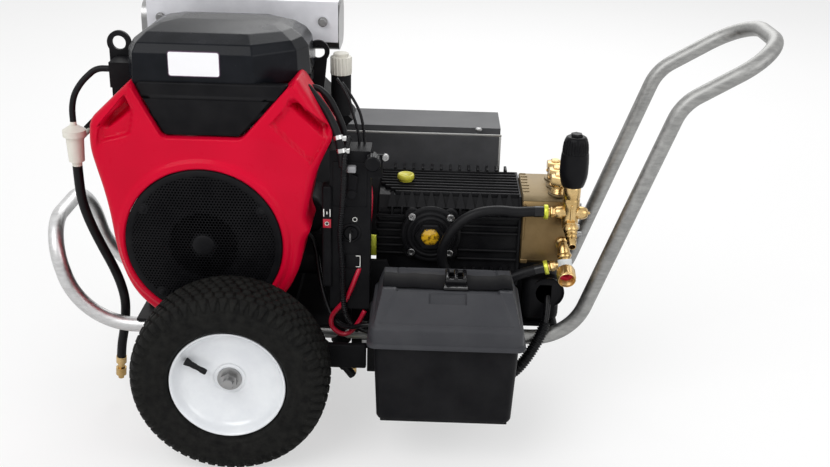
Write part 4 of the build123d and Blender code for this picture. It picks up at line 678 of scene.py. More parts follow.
for side, sign in (("near", -1), ("far", 1)):
    tyre = addMesh(side + "Tyre", *tyreForm(tyrePlan, sign), "tyreRubber", side + "_wheel", "tyre")
    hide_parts(side + "_tyre")
    rim = addMesh(side + "Rim", *rimForm(rimPlan, sign), "whiteEnamel", side + "_wheel", "white_steel")
    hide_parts(side + "_rim")
    addMesh(
        side + "ValveStem", *valveForm(rimPlan, sign), "softRubber", side + "_wheel", "rubber",
        sharp=40
    )
    print(side, "wheel made")

# fan cover
coverPlan = {
    "crank": (-50.0, 342.0), "faceY": -181.0, "farY": -85.0, "wall": 3.0,
    "outline": [  # corner and how far it is rounded, counted from the crank
        (-103, 258, 7), (-168, 196, 12), (-172, 152, 20), (-150, 60, 40), (-142, -30, 40),
        (-120, -92, 30), (-78, -132, 26), (-26, -152, 24), (26, -152, 24), (80, -128, 26),
        (128, -88, 26), (150, -40, 18), (158, 6, 8), (168, 24, 7), (160, 44, 10), (176, 121, 30),
        (204, 178, 12), (148, 268, 7), (64, 173, 8), (-58, 173, 8),
    ],
    "edgeRound": 15.0, "notchRound": 4.0, "opening": 124.5,
    "collar": {"radius": 140.0, "centre": (0.0, 3.0), "height": 4.6, "slope": 9.0},
    "rightRecess": {
        "corners": [(107, 198), (142, 235), (201, 187), (172, 137)], "depth": 9.0, "soft": 3.0,
        "slot": [(134, 228), (149, 234), (196, 193), (184, 181)], "slotDepth": 26.0,
    },
    "leftRecess": {
        "corners": [(-160, 160), (-152, 191), (-113, 238), (-98, 212), (-104, 176)], "depth": 9.0,
        "soft": 4.0, "slot": [(-154, 189), (-113, 235), (-103, 213), (-139, 184)],
        "slotDepth": 26.0,
    },
    "crease": {"from": (60, 182), "to": (215, 96), "bow": 20.0, "fall": 0.16},
}


def roundedOutline(corners, perTurn=7, run=7.0):
    # each corner becomes a quadratic arc, each side gets even points
    corners = np.array(corners, float)
    made = []
    count = len(corners)
    for i in range(count):
        before, here, after = corners[i - 1, :2], corners[i, :2], corners[(i + 1) % count, :2]
        cut = corners[i, 2]
        cutIn = min(cut, 0.45 * np.linalg.norm(here - before))
        cutOut = min(cut, 0.45 * np.linalg.norm(after - here))
        a, b = here + unit(before - here) * cutIn, here + unit(after - here) * cutOut
        t = np.linspace(0, 1, perTurn)[:, None]
        made.append(a * (1 - t) ** 2 + 2 * here * t * (1 - t) + b * t ** 2)
    whole = np.concatenate(made)
    whole = np.r_[whole, whole[:1]]
    gaps = np.linalg.norm(np.diff(whole, axis=0), axis=1)
    pieces = [
        np.linspace(whole[i], whole[i + 1], max(1, int(gaps[i] // run)) + 1)[:-1]
        for i in range(len(gaps)) if gaps[i] > 1e-6
    ]
    return np.concatenate(pieces)


def edgeDistance(points, outline):
    # nearest distance from each point to a closed outline, and which side is nearest
    a, b = outline, np.roll(outline, -1, 0)
    run = b - a
    best = np.full(len(points), 1e9)
    which = np.zeros(len(points), int)
    for i in range(len(a)):
        t = np.clip(((points - a[i]) @ run[i]) / (run[i] @ run[i] + 1e-9), 0, 1)
        d = np.linalg.norm(points - a[i] - t[:, None] * run[i], axis=1)
        near = d < best
        best[near], which[near] = d[near], i
    return best, which


def insideDepth(points, corners):  # distance to the outline, positive inside it and negative outside
    corners = np.array(corners, float)
    best, _ = edgeDistance(points, corners)
    a, b = corners, np.roll(corners, -1, 0)
    crossings = np.zeros(len(points), int)
    for i in range(len(a)):
        above = (a[i, 1] > points[:, 1]) != (b[i, 1] > points[:, 1])
        x = a[i, 0] + (points[:, 1] - a[i, 1]) * (b[i, 0] - a[i, 0]) / (b[i, 1] - a[i, 1] + 1e-12)
        crossings += above & (points[:, 0] < x)
    return np.where(crossings % 2 == 1, best, -best)


def softStep(value, low, high):
    # smoothstep: 3 t squared - 2 t cubed, t running from 0 at low to 1 at high
    t = np.clip((value - low) / (high - low), 0, 1)
    return t * t * (3 - 2 * t)


def coverFace(points, plan, outline):
    # depth behind the face: rounded edge + recesses with sloping walls - collar round the opening
    distance, which = edgeDistance(points, outline)
    middle = (outline + np.roll(outline, -1, 0)) / 2
    notch = (middle[:, 1] > 168) & (middle[:, 0] > -100) & (middle[:, 0] < 140)
    notch &= ~((middle[:, 0] < -98) | (middle[:, 1] > 262))
    round_ = np.where(notch[which], plan["notchRound"], plan["edgeRound"])
    inner = np.clip(round_ - distance, 0, round_)
    depth = round_ - np.sqrt(np.clip(round_ ** 2 - inner ** 2, 0, None))
    for key in ("rightRecess", "leftRecess"):
        recess = plan[key]
        inside = insideDepth(points, recess["corners"])
        depth = np.maximum(depth, recess["depth"] * softStep(inside, 0, recess["soft"]) + depth * 0.3)
        slot = insideDepth(points, recess["slot"])
        depth = depth + recess["slotDepth"] * softStep(slot, 0, 2.5)
    collar = plan["collar"]
    reach = np.linalg.norm(points - np.array(collar["centre"]), axis=1)
    lift = 1 - softStep(reach, collar["radius"] - collar["slope"], collar["radius"])
    depth = depth - collar["height"] * lift * softStep(distance, 2, 12)
    lip = np.linalg.norm(points, axis=1)
    depth = depth + 3.0 * (1 - softStep(lip, plan["opening"], plan["opening"] + 3.0))
    crease = plan["crease"]
    a, b = np.array(crease["from"], float), np.array(crease["to"], float)
    run = b - a
    t = np.clip(((points - a) @ run) / (run @ run), -0.2, 1.2)
    side = (points - a - t[:, None] * run) @ (unit(run)[::-1] * [-1, 1])
    side = side - crease["bow"] * 4 * t * (1 - t)
    depth = depth + np.clip(side, 0, 60) * crease["fall"] * (points[:, 0] > 0)
    return depth


def coverForm(plan):
    # rings from the opening to the outline, then the side wall back, then the same surface inside it
    outline = roundedOutline(plan["outline"])
    count = len(outline)
    start = unit(outline) * plan["opening"]
    reach = np.linalg.norm(outline - start, axis=1)
    share = np.r_[np.linspace(0, 0.84, 46), 1 - np.linspace(0.16, 0.0, 26)[1:]]
    share = np.unique(np.clip(share, 0, 1))
    flat = start[None] + share[:, None, None] * (outline - start)[None]
    depth = coverFace(flat.reshape(-1, 2), plan, outline).reshape(len(share), count)
    top = np.stack([flat[..., 0], plan["faceY"] + depth, flat[..., 1]], -1)
    edgeY = top[-1, :, 1]
    after, before = np.roll(outline, -1, 0), np.roll(outline, 1, 0)
    normal = unit(after - before)[:, ::-1] * [-1, 1]
    normal *= np.sign(np.sum(normal * (outline - start)))
    walls = []
    for y in np.linspace(0, 1, 7)[1:]:
        walls.append(np.stack([outline[:, 0], edgeY + (plan["farY"] - edgeY) * y, outline[:, 1]], -1))
    inset = outline - normal * plan["wall"]
    walls.append(np.stack([inset[:, 0], np.full(count, plan["farY"]), inset[:, 1]], -1))
    walls.append(np.stack([inset[:, 0], edgeY + plan["wall"] + 8, inset[:, 1]], -1))
    back = top[::-6].copy()
    back[..., 1] += plan["wall"]
    back[..., [0, 2]] += ((start - outline)[None] * 0.02)
    grid = np.concatenate([top, np.array(walls), back[1:]])
    crank = plan["crank"]
    grid = grid + np.array([crank[0], 0, crank[1]])
    faces = gridQuads(len(grid), count, True, True)
    return grid.reshape(-1, 3), faces


coverPiece = addMesh("fanCover", *coverForm(coverPlan), "coverRed", "chassis", "red_cover")
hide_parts("fan_cover")
print("fan cover made,", len(coverPiece.data.polygons), "faces")


def bevelled(piece, width, segments=3, angle=24):
    # edges sharper than the angle are rounded by the width
    soften = piece.modifiers.new("roundedEdges", "BEVEL")
    soften.width, soften.segments = width * mm, segments
    soften.limit_method, soften.angle_limit = "ANGLE", math.radians(angle)
    soften.harden_normals = True
    soften.use_clamp_overlap = True
    return piece


def loftLoops(loops):  # matching loops joined ring to ring, with flat ends
    loops = np.array(loops, float)
    rows, cols = loops.shape[:2]
    return loops.reshape(-1, 3), gridQuads(rows, cols, closeCols=True).tolist() + endFaces(rows, cols)


# air cleaner
cleanerPlan = {
    "levels": [  # height, then the plan's corners anticlockwise from the front left
        (588, [
            (-147, -157), (30, -157), (90, -108), (106, -68), (104, 8), (62, 34), (-130, 34),
            (-160, 4), (-162, -122)
        ]),
        (594, [
            (-151, -160), (33, -160), (94, -112), (110, -72), (108, 10), (64, 38), (-132, 38),
            (-163, 6), (-165, -126)
        ]),
        (640, [
            (-149, -159), (32, -159), (92, -113), (107, -74), (104, 6), (60, 34), (-130, 34),
            (-160, 4), (-163, -124)
        ]),
        (654, [
            (-144, -150), (29, -150), (84, -111), (97, -75), (95, 0), (54, 29), (-125, 29),
            (-151, 2), (-155, -120)
        ]),
        (665, [
            (-134, -122), (22, -122), (68, -96), (80, -68), (78, -8), (44, 18), (-114, 18),
            (-136, -4), (-140, -104)
        ]),
        (671, [
            (-120, -84), (12, -84), (48, -70), (58, -52), (56, -18), (32, 4), (-102, 4),
            (-122, -14), (-126, -70)
        ]),
        (673.5, [
            (-96, -58), (-2, -58), (20, -52), (28, -44), (27, -28), (14, -16), (-84, -16),
            (-96, -24), (-98, -50)
        ]),
    ],
    "edge": 8.0,
}


def cleanerForm(plan):  # nine-cornered plan drawn in at each level, so the top falls away in facets
    loops = [[(x, y, z) for x, y in corners] for z, corners in plan["levels"]]
    return loftLoops(loops)


cleanerPiece = addMesh(
    "airCleanerCover", *cleanerForm(cleanerPlan), "glossBlack", "air_cleaner_lid", "gloss_black"
)
bevelled(cleanerPiece, cleanerPlan["edge"], 4, 5)
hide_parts("air_cleaner_cover")

plateMade, plateTree, plateShader, plateWhere = startFinish("plainPlate", (0.86, 0.86, 0.88), 0.35)
bumpFrom(plateTree, plateShader, noiseOf(plateTree, plateWhere, 500, 2), 0.2, 0.00005)
finish["plainPlate"] = plateMade
badgePlan = {"low": (-96, 606), "high": (-17, 645), "face": -160.4}


def roundedLoop(x0, x1, z0, z1, radius, perTurn=6):
    # four quarter circles at the corners of a rectangle
    turn = np.concatenate([np.linspace(k, k + 1, perTurn) for k in range(4)]) * np.pi / 2
    cx = np.repeat([x1 - radius, x0 + radius, x0 + radius, x1 - radius], perTurn)
    cz = np.repeat([z1 - radius, z1 - radius, z0 + radius, z0 + radius], perTurn)
    return np.stack([cx + radius * np.cos(turn), cz + radius * np.sin(turn)], -1)


def plateForm(plan, shrink, face, thick):  # rounded rectangle drawn in by shrink and given a thickness
    (x0, z0), (x1, z1) = plan["low"], plan["high"]
    outline = roundedLoop(x0 + shrink, x1 - shrink, z0 + shrink, z1 - shrink, 4.0 - shrink * 0.5)
    return outlineSlab(outline, face, face + thick, 0.3)


addMesh(
    "plateEdge", *plateForm(badgePlan, 0, badgePlan["face"], 2.2), "plateEdge", "air_cleaner_lid",
    "gloss_black", sharp=40
)
addMesh(
    "blankPlate", *plateForm(badgePlan, 1.3, badgePlan["face"] - 0.25, 2.0), "plainPlate",
    "air_cleaner_lid", "white_plastic", sharp=40
)

frontPlan = {
    "outline": [
        (-108, 518), (13, 518), (58, 560), (84, 594), (84, 598), (-140, 598), (-146, 592),
        (-130, 556)
    ],
    "face": -168.0, "back": -150.0, "strip": [(-124, 543), (36, 543), (36, 570), (-124, 570)],
    "slot": (-118, 44, 534.5, 537.5),
    "holes": [
        [(-133, 552), (-124, 552), (-124, 574), (-138, 574)],
        [(44, 552), (52, 556), (66, 572), (46, 574)]
    ],
}


def frontPanelForm(plan):
    # height map: the middle swells forward, the bare strip stands up, the slot and the holes sink
    outline = roundedOutline([(x, z, 3) for x, z in plan["outline"]], 5, 4.0)
    centre = np.array([-47.0, 562.0])
    share = np.r_[np.linspace(0.02, 0.97, 64), 1.0]
    flat = centre + share[:, None, None] * (outline - centre)[None]
    rows, cols = flat.shape[:2]
    p = flat.reshape(-1, 2)
    distance, _ = edgeDistance(p, outline)
    y = plan["face"] + 3.0 - np.sqrt(np.clip(9 - np.clip(3 - distance, 0, 3) ** 2, 0, None))
    y = y - 1.4 * softStep(insideDepth(p, plan["strip"]), -0.6, 0.9)
    x0, x1, z0, z1 = plan["slot"]
    y = y + 5.0 * softStep(insideDepth(p, [(x0, z0), (x1, z0), (x1, z1), (x0, z1)]), -0.6, 0.8)
    for hole in plan["holes"]:
        y = y + 9.0 * softStep(insideDepth(p, hole), -0.5, 1.5)
    y = y + 2.0 * softStep(p[:, 1], 574, 580)
    top = np.stack([p[:, 0], y, p[:, 1]], -1).reshape(rows, cols, 3)
    wall = top[-1].copy()
    wall[:, 1] = plan["back"]
    grid = np.concatenate([top, wall[None]])
    return loftLoops(grid)


addMesh("frontPanel", *frontPanelForm(frontPlan), "mouldedBlack", "chassis", "black_plastic")
print("air cleaner and front panel made")


# intake grille
grillePlan = {
    "crank": (-50.0, 342.0), "radius": 123.8, "band": 9.0, "face": -184.0, "dome": 4.0, "thick": 1.6,
    "pitch": 5.0, "hole": 1.85, "hub": 17.0, "screws": [32, 148, 230, 310], "screwReach": 110.0,
    "ringReach": 34.0, "ringHole": 2.35,
}


def grilleForm(plan):
    # hexagonal cells on a triangular lattice, each a ring round its hole, bent to a shallow dome
    pitch, radius = plan["pitch"], plan["radius"] - plan["band"]
    count = int(radius / pitch) + 2
    i, j = np.meshgrid(np.arange(-2 * count, 2 * count + 1), np.arange(-2 * count, 2 * count + 1))
    centres = np.stack([(i + j * 0.5) * pitch, j * pitch * math.sqrt(3) / 2], -1).reshape(-1, 2)
    reach = np.linalg.norm(centres, axis=1)
    centres = centres[reach < radius + pitch * 0.6]
    reach = np.linalg.norm(centres, axis=1)
    turn = (np.arange(6) + 0.5) * np.pi / 3
    corner = np.stack([np.cos(turn), np.sin(turn)], -1)
    outer = centres[:, None] + corner * pitch / math.sqrt(3)
    wide = np.where(
        (reach > plan["hub"] + 4) & (reach < plan["ringReach"] + 20), plan["ringHole"], plan["hole"]
    )
    wide = np.where(reach < plan["hub"], 0.5, wide)
    inner = centres[:, None] + corner * wide[:, None, None]
    flat = np.concatenate([outer, inner], 1)
    n = len(centres)
    dome = lambda p: plan["face"] - plan["dome"] * (1 - (np.linalg.norm(p, axis=-1) / plan["radius"]) ** 2)
    front = np.stack([flat[..., 0], dome(flat), flat[..., 1]], -1)
    back = front + [0, plan["thick"], 0]
    points = np.concatenate([front, back], 1).reshape(-1, 3)
    k = np.arange(6)
    k2 = (k + 1) % 6
    ring = np.stack([k, k2, 6 + k2, 6 + k], -1)
    wall = np.stack([6 + k, 6 + k2, 18 + k2, 18 + k], -1)
    rear = np.stack([12 + k2, 12 + k, 18 + k, 18 + k2], -1)
    cell = np.concatenate([ring, wall, rear])
    faces = (cell[None] + (np.arange(n) * 24)[:, None, None]).reshape(-1, 4)
    keys = np.round(points, 3)
    _, first, same = np.unique(keys, axis=0, return_index=True, return_inverse=True)
    same = same.ravel()
    merged = points[first]
    faces = same[faces]
    edges = np.sort(np.stack([faces, np.roll(faces, -1, 1)], -1).reshape(-1, 2), 1)
    pairs, times = np.unique(edges, axis=0, return_counts=True)
    loose = pairs[times == 1]
    frontLoose = loose[(merged[loose[:, 0], 1] < dome(merged[loose[:, 0]][:, [0, 2]]) + 0.5)]
    rearOf = {tuple(np.round(p, 3)): i for i, p in enumerate(merged)}
    skirts = []
    directed = {(a, b) for f in faces[: n * 18] for a, b in zip(f, np.roll(f, -1))}
    for a, b in frontLoose:
        a2 = rearOf.get(tuple(np.round(merged[a] + [0, plan["thick"], 0], 3)))
        b2 = rearOf.get(tuple(np.round(merged[b] + [0, plan["thick"], 0], 3)))
        if a2 is not None and b2 is not None:
            skirts.append([b, a, a2, b2] if (a, b) in directed else [a, b, b2, a2])
    crank = plan["crank"]
    return merged + [crank[0], 0, crank[1]], faces.tolist() + skirts


grilleMesh = addMesh(
    "grilleMesh", *grilleForm(grillePlan), "mouldedBlack", "chassis", "black_plastic", smooth=False
)
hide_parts("intake_grille")
r, f = grillePlan["radius"], grillePlan["face"]
band = [
    (r - 10.5, 3.0), (r - 10.5, -0.4), (r - 9.5, -1.2), (r - 3, -1.6), (r - 1, -1.0), (r, 0.6),
    (r, 6.0), (r - 3, 6.0)
]
crankFace = (grillePlan["crank"][0], f, grillePlan["crank"][1])
ringPoints, ringFaces = turnedForm(band + band[:1], crankFace, (0, 1, 0), 120)
addMesh(
    "grilleBand", ringPoints, [q for q in ringFaces if len(q) == 4], "mouldedBlack", "chassis",
    "black_plastic", sharp=50
)
hub = [(0, -6.4), (8, -6.4), (14, -5.6), (16.5, -4.6), (17.5, -3.2), (17.5, -1)]
hubParts = [turnedForm(hub[::-1], crankFace, (0, 1, 0), 48)]
for turn in grillePlan["screws"]:
    a = math.radians(turn)
    reach = grillePlan["screwReach"]
    head = (crankFace[0] + reach * math.cos(a), f, crankFace[2] + reach * math.sin(a))
    hubParts.append(turnedForm(
        [(5.4, 2.2), (5.4, -1.6), (4.6, -2.6), (2.6, -3.0), (0, -3.0)], head, (0, 1, 0), 20
    ))
    hubParts.append(turnedForm([(9, 2.0), (9, -0.9), (7.6, -1.4), (5, -1.4)], head, (0, 1, 0), 24))
addParts("grilleHubAndScrews", hubParts, "mouldedBlack", "chassis", "black_plastic", sharp=50)
print("grille made,", len(grilleMesh.data.polygons), "faces")


# battery case, lid and strap
boxLow, boxHigh = nodeBox("battery_case")
lidLow, lidHigh = nodeBox("battery_lid")
boxPlan = {
    "centre": (boxLow + boxHigh)[:2] / 2, "base": boxLow[2], "rim": boxHigh[2], "corner": 13.0,
    "wall": 4.0, "baseHalf": (106, 79), "rimHalf": (113, 83), "footLift": 5.5, "footHalf": 19.0,
    "footSlope": 4.0,
}
lidPlan = {
    "skirtLow": lidLow[2] + 0.6, "skirtTop": 262.0, "top": lidHigh[2], "half": (118.5, 88.5),
    "lip": 3.6, "shelf": (112.0, 84.0), "flatHalf": 101.0, "flatNear": -31.0, "flatFar": 52.0,
    "panelLow": 106.0, "panelHigh": 81.0, "panelDeep": 3.0, "notchLow": -29.0, "notchHigh": 30.0,
    "notchDrop": 17.0, "notchDeep": 6.0,
}


def planLoop(halfX, halfY, radius, z, perTurn=9):
    # rounded rectangle lying flat about the case's centre
    flat = roundedLoop(-halfX, halfX, -halfY, halfY, radius, perTurn) + boxPlan["centre"]
    return np.c_[flat, np.full(len(flat), z)]


def caseForm(plan):
    # rounded rectangle that widens with height, with a lifted foot in front and walls inside
    def outer(share, inset=0.0, perTurn=40):
        half = [b + (r - b) * share - inset for b, r in zip(plan["baseHalf"], plan["rimHalf"])]
        z = plan["base"] + (plan["rim"] - plan["base"]) * share
        return planLoop(half[0], half[1], plan["corner"] - inset * 0.4, z, perTurn)
    loops = [outer(0.0, 5.0), outer(0.006, 1.6), outer(0.03), outer(0.06), outer(0.5), outer(1.0)]
    loops += [outer(1.0, plan["wall"]), outer(0.06, plan["wall"])]
    loops = np.array(loops)
    across = np.abs(loops[:3, :, 0] - plan["centre"][0])
    near = loops[:3, :, 1] < plan["centre"][1] - 60
    lift = np.clip(
        (plan["footHalf"] + plan["footSlope"] - across) / plan["footSlope"], 0, 1
    ) * plan["footLift"]
    loops[:3, :, 2] += np.where(near, lift * np.array([1, 1, 0.4])[:, None], 0)
    return loftLoops(loops)


def evenLoop(loop, count):  # closed loop with points a fixed share of its length apart
    closed = np.r_[loop, loop[:1]]
    gaps = np.r_[0, np.cumsum(np.linalg.norm(np.diff(closed, axis=0), axis=1))]
    want = np.linspace(0, gaps[-1], count, endpoint=False)
    return np.stack([np.interp(want, gaps, closed[:, k]) for k in range(3)], -1)


def lidSurface(x, y, plan):
    # lowest of the four slopes and the flat top, with the panel pressed into the front one
    rise = plan["top"] - plan["skirtTop"]
    near = (y + plan["shelf"][1]) / (plan["flatNear"] + plan["shelf"][1])
    far = (plan["shelf"][1] - y) / (plan["shelf"][1] - plan["flatFar"])
    sides = (plan["shelf"][0] - np.abs(x)) / (plan["shelf"][0] - plan["flatHalf"])
    share = np.minimum(np.minimum(near, far), np.minimum(sides, 1.0))
    z = plan["skirtTop"] + rise * np.clip(share, 0, 1)
    panelHalf = plan["panelLow"] + (plan["panelHigh"] - plan["panelLow"]) * np.clip(near, 0, 1)
    edge = np.minimum(panelHalf - np.abs(x), (y + plan["shelf"][1] - 4.0) * 0.9)
    z = z - plan["panelDeep"] * softStep(edge, 0.0, 3.0) * softStep(1.12 - near, 0.0, 0.06)
    behind = softStep(near, 1.0, 1.03) * softStep(
        panelHalf - np.abs(x), 0, 4
    ) * softStep(far, 1.0, 1.06)
    z = z - 3.4 * behind
    dropAt = (plan["notchDrop"] - (plan["flatNear"] - y)) * 0.8
    inNotch = np.minimum(
        np.minimum(x - plan["notchLow"], plan["notchHigh"] - x), np.minimum(dropAt, near * 40)
    )
    return z - plan["notchDeep"] * softStep(inNotch, 0.0, 2.4) * softStep(1.02 - near, 0.0, 0.05)


def lidForm(plan, count=300):  # skirt rings drawn in towards the middle, then the lid's own surface
    (halfX, halfY), skirt, lip = plan["half"], plan["skirtLow"], plan["lip"]
    levels = [
        (4.5, plan["skirtTop"] - 1.6), (4.5, skirt), (0.2, skirt + 0.8), (-lip, skirt + 2.2),
        (-lip, skirt + 5.2), (0.3, skirt + 8.4), (0.6, skirt + 26), (1.0, plan["skirtTop"] - 5),
        (2.2, plan["skirtTop"] - 2.2), (4.4, plan["skirtTop"] - 0.5),
    ]
    rings = [evenLoop(planLoop(halfX - i, halfY - i, 15.0, z, 12), count) for i, z in levels]
    centre = np.array([*boxPlan["centre"], 0])
    edge = rings[-1][:, :2] - centre[:2]
    for share in np.linspace(0.985, 0.02, 70):  # the last ring is drawn in to the middle over the top
        x, y = edge[:, 0] * share, edge[:, 1] * share
        rings.append(np.stack([x, y, lidSurface(x, y, plan)], -1) + centre)
    return loftLoops(rings)


caseShell = addMesh(
    "batteryCase", *caseForm(boxPlan), "boxPlastic", "chassis", "case_plastic", sharp=50
)
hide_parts("battery_case")
lidShell = addMesh("batteryLid", *lidForm(lidPlan), "lidPlastic", "case_lid", "case_plastic", sharp=42)
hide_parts("battery_lid")

strapPlan = {
    "left": -101.0, "right": 101.0, "near": -22.0, "far": 27.0, "rise": 0.6, "thick": 2.2, "wave": 1.3,
    "buckleLow": (-4, -12), "buckleHigh": (30, 27), "buckleTop": 12.5, "bars": 3,
}


def strapForm(plan):  # flat band laid over the plateau, lifted in slow waves
    x = np.linspace(plan["left"], plan["right"], 90)
    lift = plan["rise"] + plan["wave"] * (0.6 + 0.5 * np.sin(x * 0.09) + 0.3 * np.sin(x * 0.23 + 1))
    ends = np.clip((plan["right"] - np.abs(x)) / 8, 0, 1)
    base = lidPlan["top"] - 2.6 + lift * ends + 2.4 * softStep(np.abs(x), 78, 92)
    loops = []
    for k in range(len(x)):
        low, high = base[k], base[k] + plan["thick"]
        section = [
            (plan["near"], low), (plan["near"] - 0.4, low + 1.1), (plan["near"], high),
            (0, high + 0.5), (plan["far"], high), (plan["far"] + 0.4, low + 1.1),
            (plan["far"], low), (0, low)
        ]
        loops.append([
            (x[k] + boxPlan["centre"][0], y + boxPlan["centre"][1], z) for y, z in section[::-1]
        ])
    return loftLoops(loops)


def buckleForms(plan):  # frame with three glossy bars standing over the band
    cx, cy = boxPlan["centre"]
    (x0, y0), (x1, y1) = plan["buckleLow"], plan["buckleHigh"]
    low, top = lidPlan["top"] + 0.4, lidPlan["top"] + plan["buckleTop"]
    forms = [roundedBox((cx + x0, cy + y0, low), (cx + x1, cy + y0 + 7, top - 2.5), 2.4, 4)]
    forms.append(roundedBox((cx + x0, cy + y1 - 7, low), (cx + x1, cy + y1, top - 2.5), 2.4, 4))
    wide = (x1 - x0) / (2 * plan["bars"] - 1)
    for k in range(plan["bars"]):
        left = cx + x0 + 2 * k * wide
        forms.append(roundedBox((left, cy + y0 + 2, low + 1), (left + wide, cy + y1 - 2, top), 2.2, 4))
    forms.append(roundedBox(
        (cx + x0 - 3, cy + y0 - 14, low - 2.5), (cx + x1 + 2, cy + y0 + 3, low + 2), 1.5, 3
    ))
    return joinParts(forms)


strapPiece = addMesh("lidStrap", *strapForm(strapPlan), "wovenBand", "case_lid", "webbing")
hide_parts("lid_strap")
addMesh("strapBuckle", *buckleForms(strapPlan), "buckleGloss", "case_lid", "black_plastic")
print("battery case, lid and strap made")


# pump case
pumpLow, pumpHigh = nodeBox("pump_crankcase")
pumpPlan = {
    "left": pumpLow[0], "right": pumpHigh[0], "near": pumpLow[1], "far": pumpHigh[1],
    "base": pumpLow[2], "top": pumpHigh[2], "fin": 7.0, "shoulder": 17.0, "ridges": 9,
    "ridgeFrom": -46.0, "ridgePitch": 13.6, "ridgeWide": 4.6, "ribPitch": 16.2, "ribs": 13,
    "ribFrom": 250.0, "ribWide": 15.4, "ribTip": 3.4, "leftFins": (289, 303, 316, 330, 342.5, 354),
    "rightFins": (282, 297.5, 328.6, 341, 355), "finThick": 4.6, "middle": (307.5, 328.0),
    "boltReach": 31.8,
}


def slabAcross(outline, left, right, bevel=0.8):  # outline in y and z carried from left to right
    points, faces = outlineSlab(outline, left, right, bevel)
    return points[:, [1, 0, 2]], [f[::-1] for f in faces]


def prism(corners, depth):  # four corners of a face and the same four pushed along a vector
    corners = np.asarray(corners, float)
    back = corners + np.asarray(depth, float)
    points = np.concatenate([corners, back])
    faces = [[0, 1, 2, 3], [7, 6, 5, 4], [0, 4, 5, 1], [1, 5, 6, 2], [2, 6, 7, 3], [3, 7, 4, 0]]
    middle = points.mean(axis=0)
    a, b, c = (points[i] for i in faces[0][:3])
    if np.dot(np.cross(b - a, c - a), a - middle) < 0:
        faces = [f[::-1] for f in faces]
    return points, faces


def pumpCaseForms(plan):
    # chamfered body with ridges on top, wedge ribs in front, fins at both sides and a flange
    near, far = plan["near"] + plan["fin"], plan["far"] - plan["fin"]
    top, base = plan["top"] - plan["fin"], plan["base"]
    cut = plan["shoulder"]
    outline = [
        (near + 6, base), (far - 6, base), (far, base + 6), (far, top - cut), (far - cut, top),
        (near + cut, top), (near, top - cut), (near, base + 6),
    ]
    forms = [slabAcross(outline, plan["left"], plan["right"], 4.0)]
    for k in range(plan["ridges"]):
        y = plan["ridgeFrom"] + k * plan["ridgePitch"]
        left = plan["left"] + (4 if k > 2 else 30 - 9 * k)
        half = plan["ridgeWide"] / 2
        forms.append(roundedBox(
            (left, y - half, top - 4), (plan["right"] - 4, y + half, plan["top"]), 1.6, 3
        ))
    low, high = (plan["near"] + 0.4, top - 12.5), (plan["near"] + 23, plan["top"] - 0.4)
    for k in range(plan["ribs"]):
        x = plan["ribFrom"] + (k - 0.5) * plan["ribPitch"]
        if x > plan["right"] - 6:
            continue
        wide, tip = plan["ribWide"] / 2, plan["ribTip"] / 2
        face = [(x - wide, *low), (x + wide, *low), (x + tip, *high), (x - tip, *high)]
        forms.append(prism(face, (0, 9, -9)))
        foot = roundedBox((x - 2.2, plan["near"], top - 27), (x + 2.2, near + 3, top - 12), 1.2, 2)
        forms.append(foot)
        back = roundedBox((x - 2.4, far - 30, top - 6), (x + 2.4, far - 6, plan["top"] + 3.6), 1.2, 2)
        forms.append(back)
    rail = roundedBox(
        (plan["left"] + 2, plan["near"] - 0.2, top - 30), (plan["right"] - 2, near + 3, top - 26),
        1.6, 3
    )
    forms.append(rail)
    half = plan["finThick"] / 2
    for z in plan["leftFins"]:
        forms.append(roundedBox(
            (plan["left"] - 0.5, plan["near"], z - half), (264, near + 6, z + half), 2.1, 3
        ))
    for z in plan["rightFins"]:
        forms.append(roundedBox(
            (352, plan["near"], z - half), (plan["right"] - 5, near + 6, z + half), 2.1, 3
        ))
        forms.append(roundedBox(
            (plan["left"] + 6, far - 6, z - half), (plan["right"] - 6, plan["far"], z + half), 2.1,
            3
        ))
    for x in np.arange(364, 452, 15.5):
        forms.append(roundedBox((x, plan["near"] + 1, base + 8), (x + 4, near + 6, base + 34), 1.2, 2))
    flange = [
        (plan["near"] + 1, base + 3), (far + 6, base + 3), (far + 6, top - 14), (far - 16, top + 3),
        (near + 16, top + 3), (plan["near"] + 1, top - 14)
    ]
    forms.append(slabAcross(flange, plan["right"] - 5.5, plan["right"], 1.2))
    forms.append(roundedBox(
        (plan["left"] + 20, near - 3, base + 1), (plan["right"] - 12, far + 3, base + 12), 3, 3
    ))
    return forms


pumpCase = addParts("pumpCase", pumpCaseForms(pumpPlan), "castBlack", "chassis", "cast_black", sharp=36)
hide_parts("pump_crankcase")

coverSide = {
    "plate": -76.0, "radius": 52.0, "lobe": 13.5, "hexReach": 25.0, "glass": 12.4,
    "steps": [
        (49.5, 0), (49.5, 3.0), (47.8, 4.4), (44.6, 4.8), (43.6, 3.2), (41.2, 3.2), (40.2, 5.6),
        (38.6, 6.6), (36.4, 6.9), (35.0, 6.0), (32.6, 6.2), (31.2, 8.0), (29.6, 8.6), (27.6, 8.2),
        (26.4, 6.4), (0, 6.4)
    ],
}


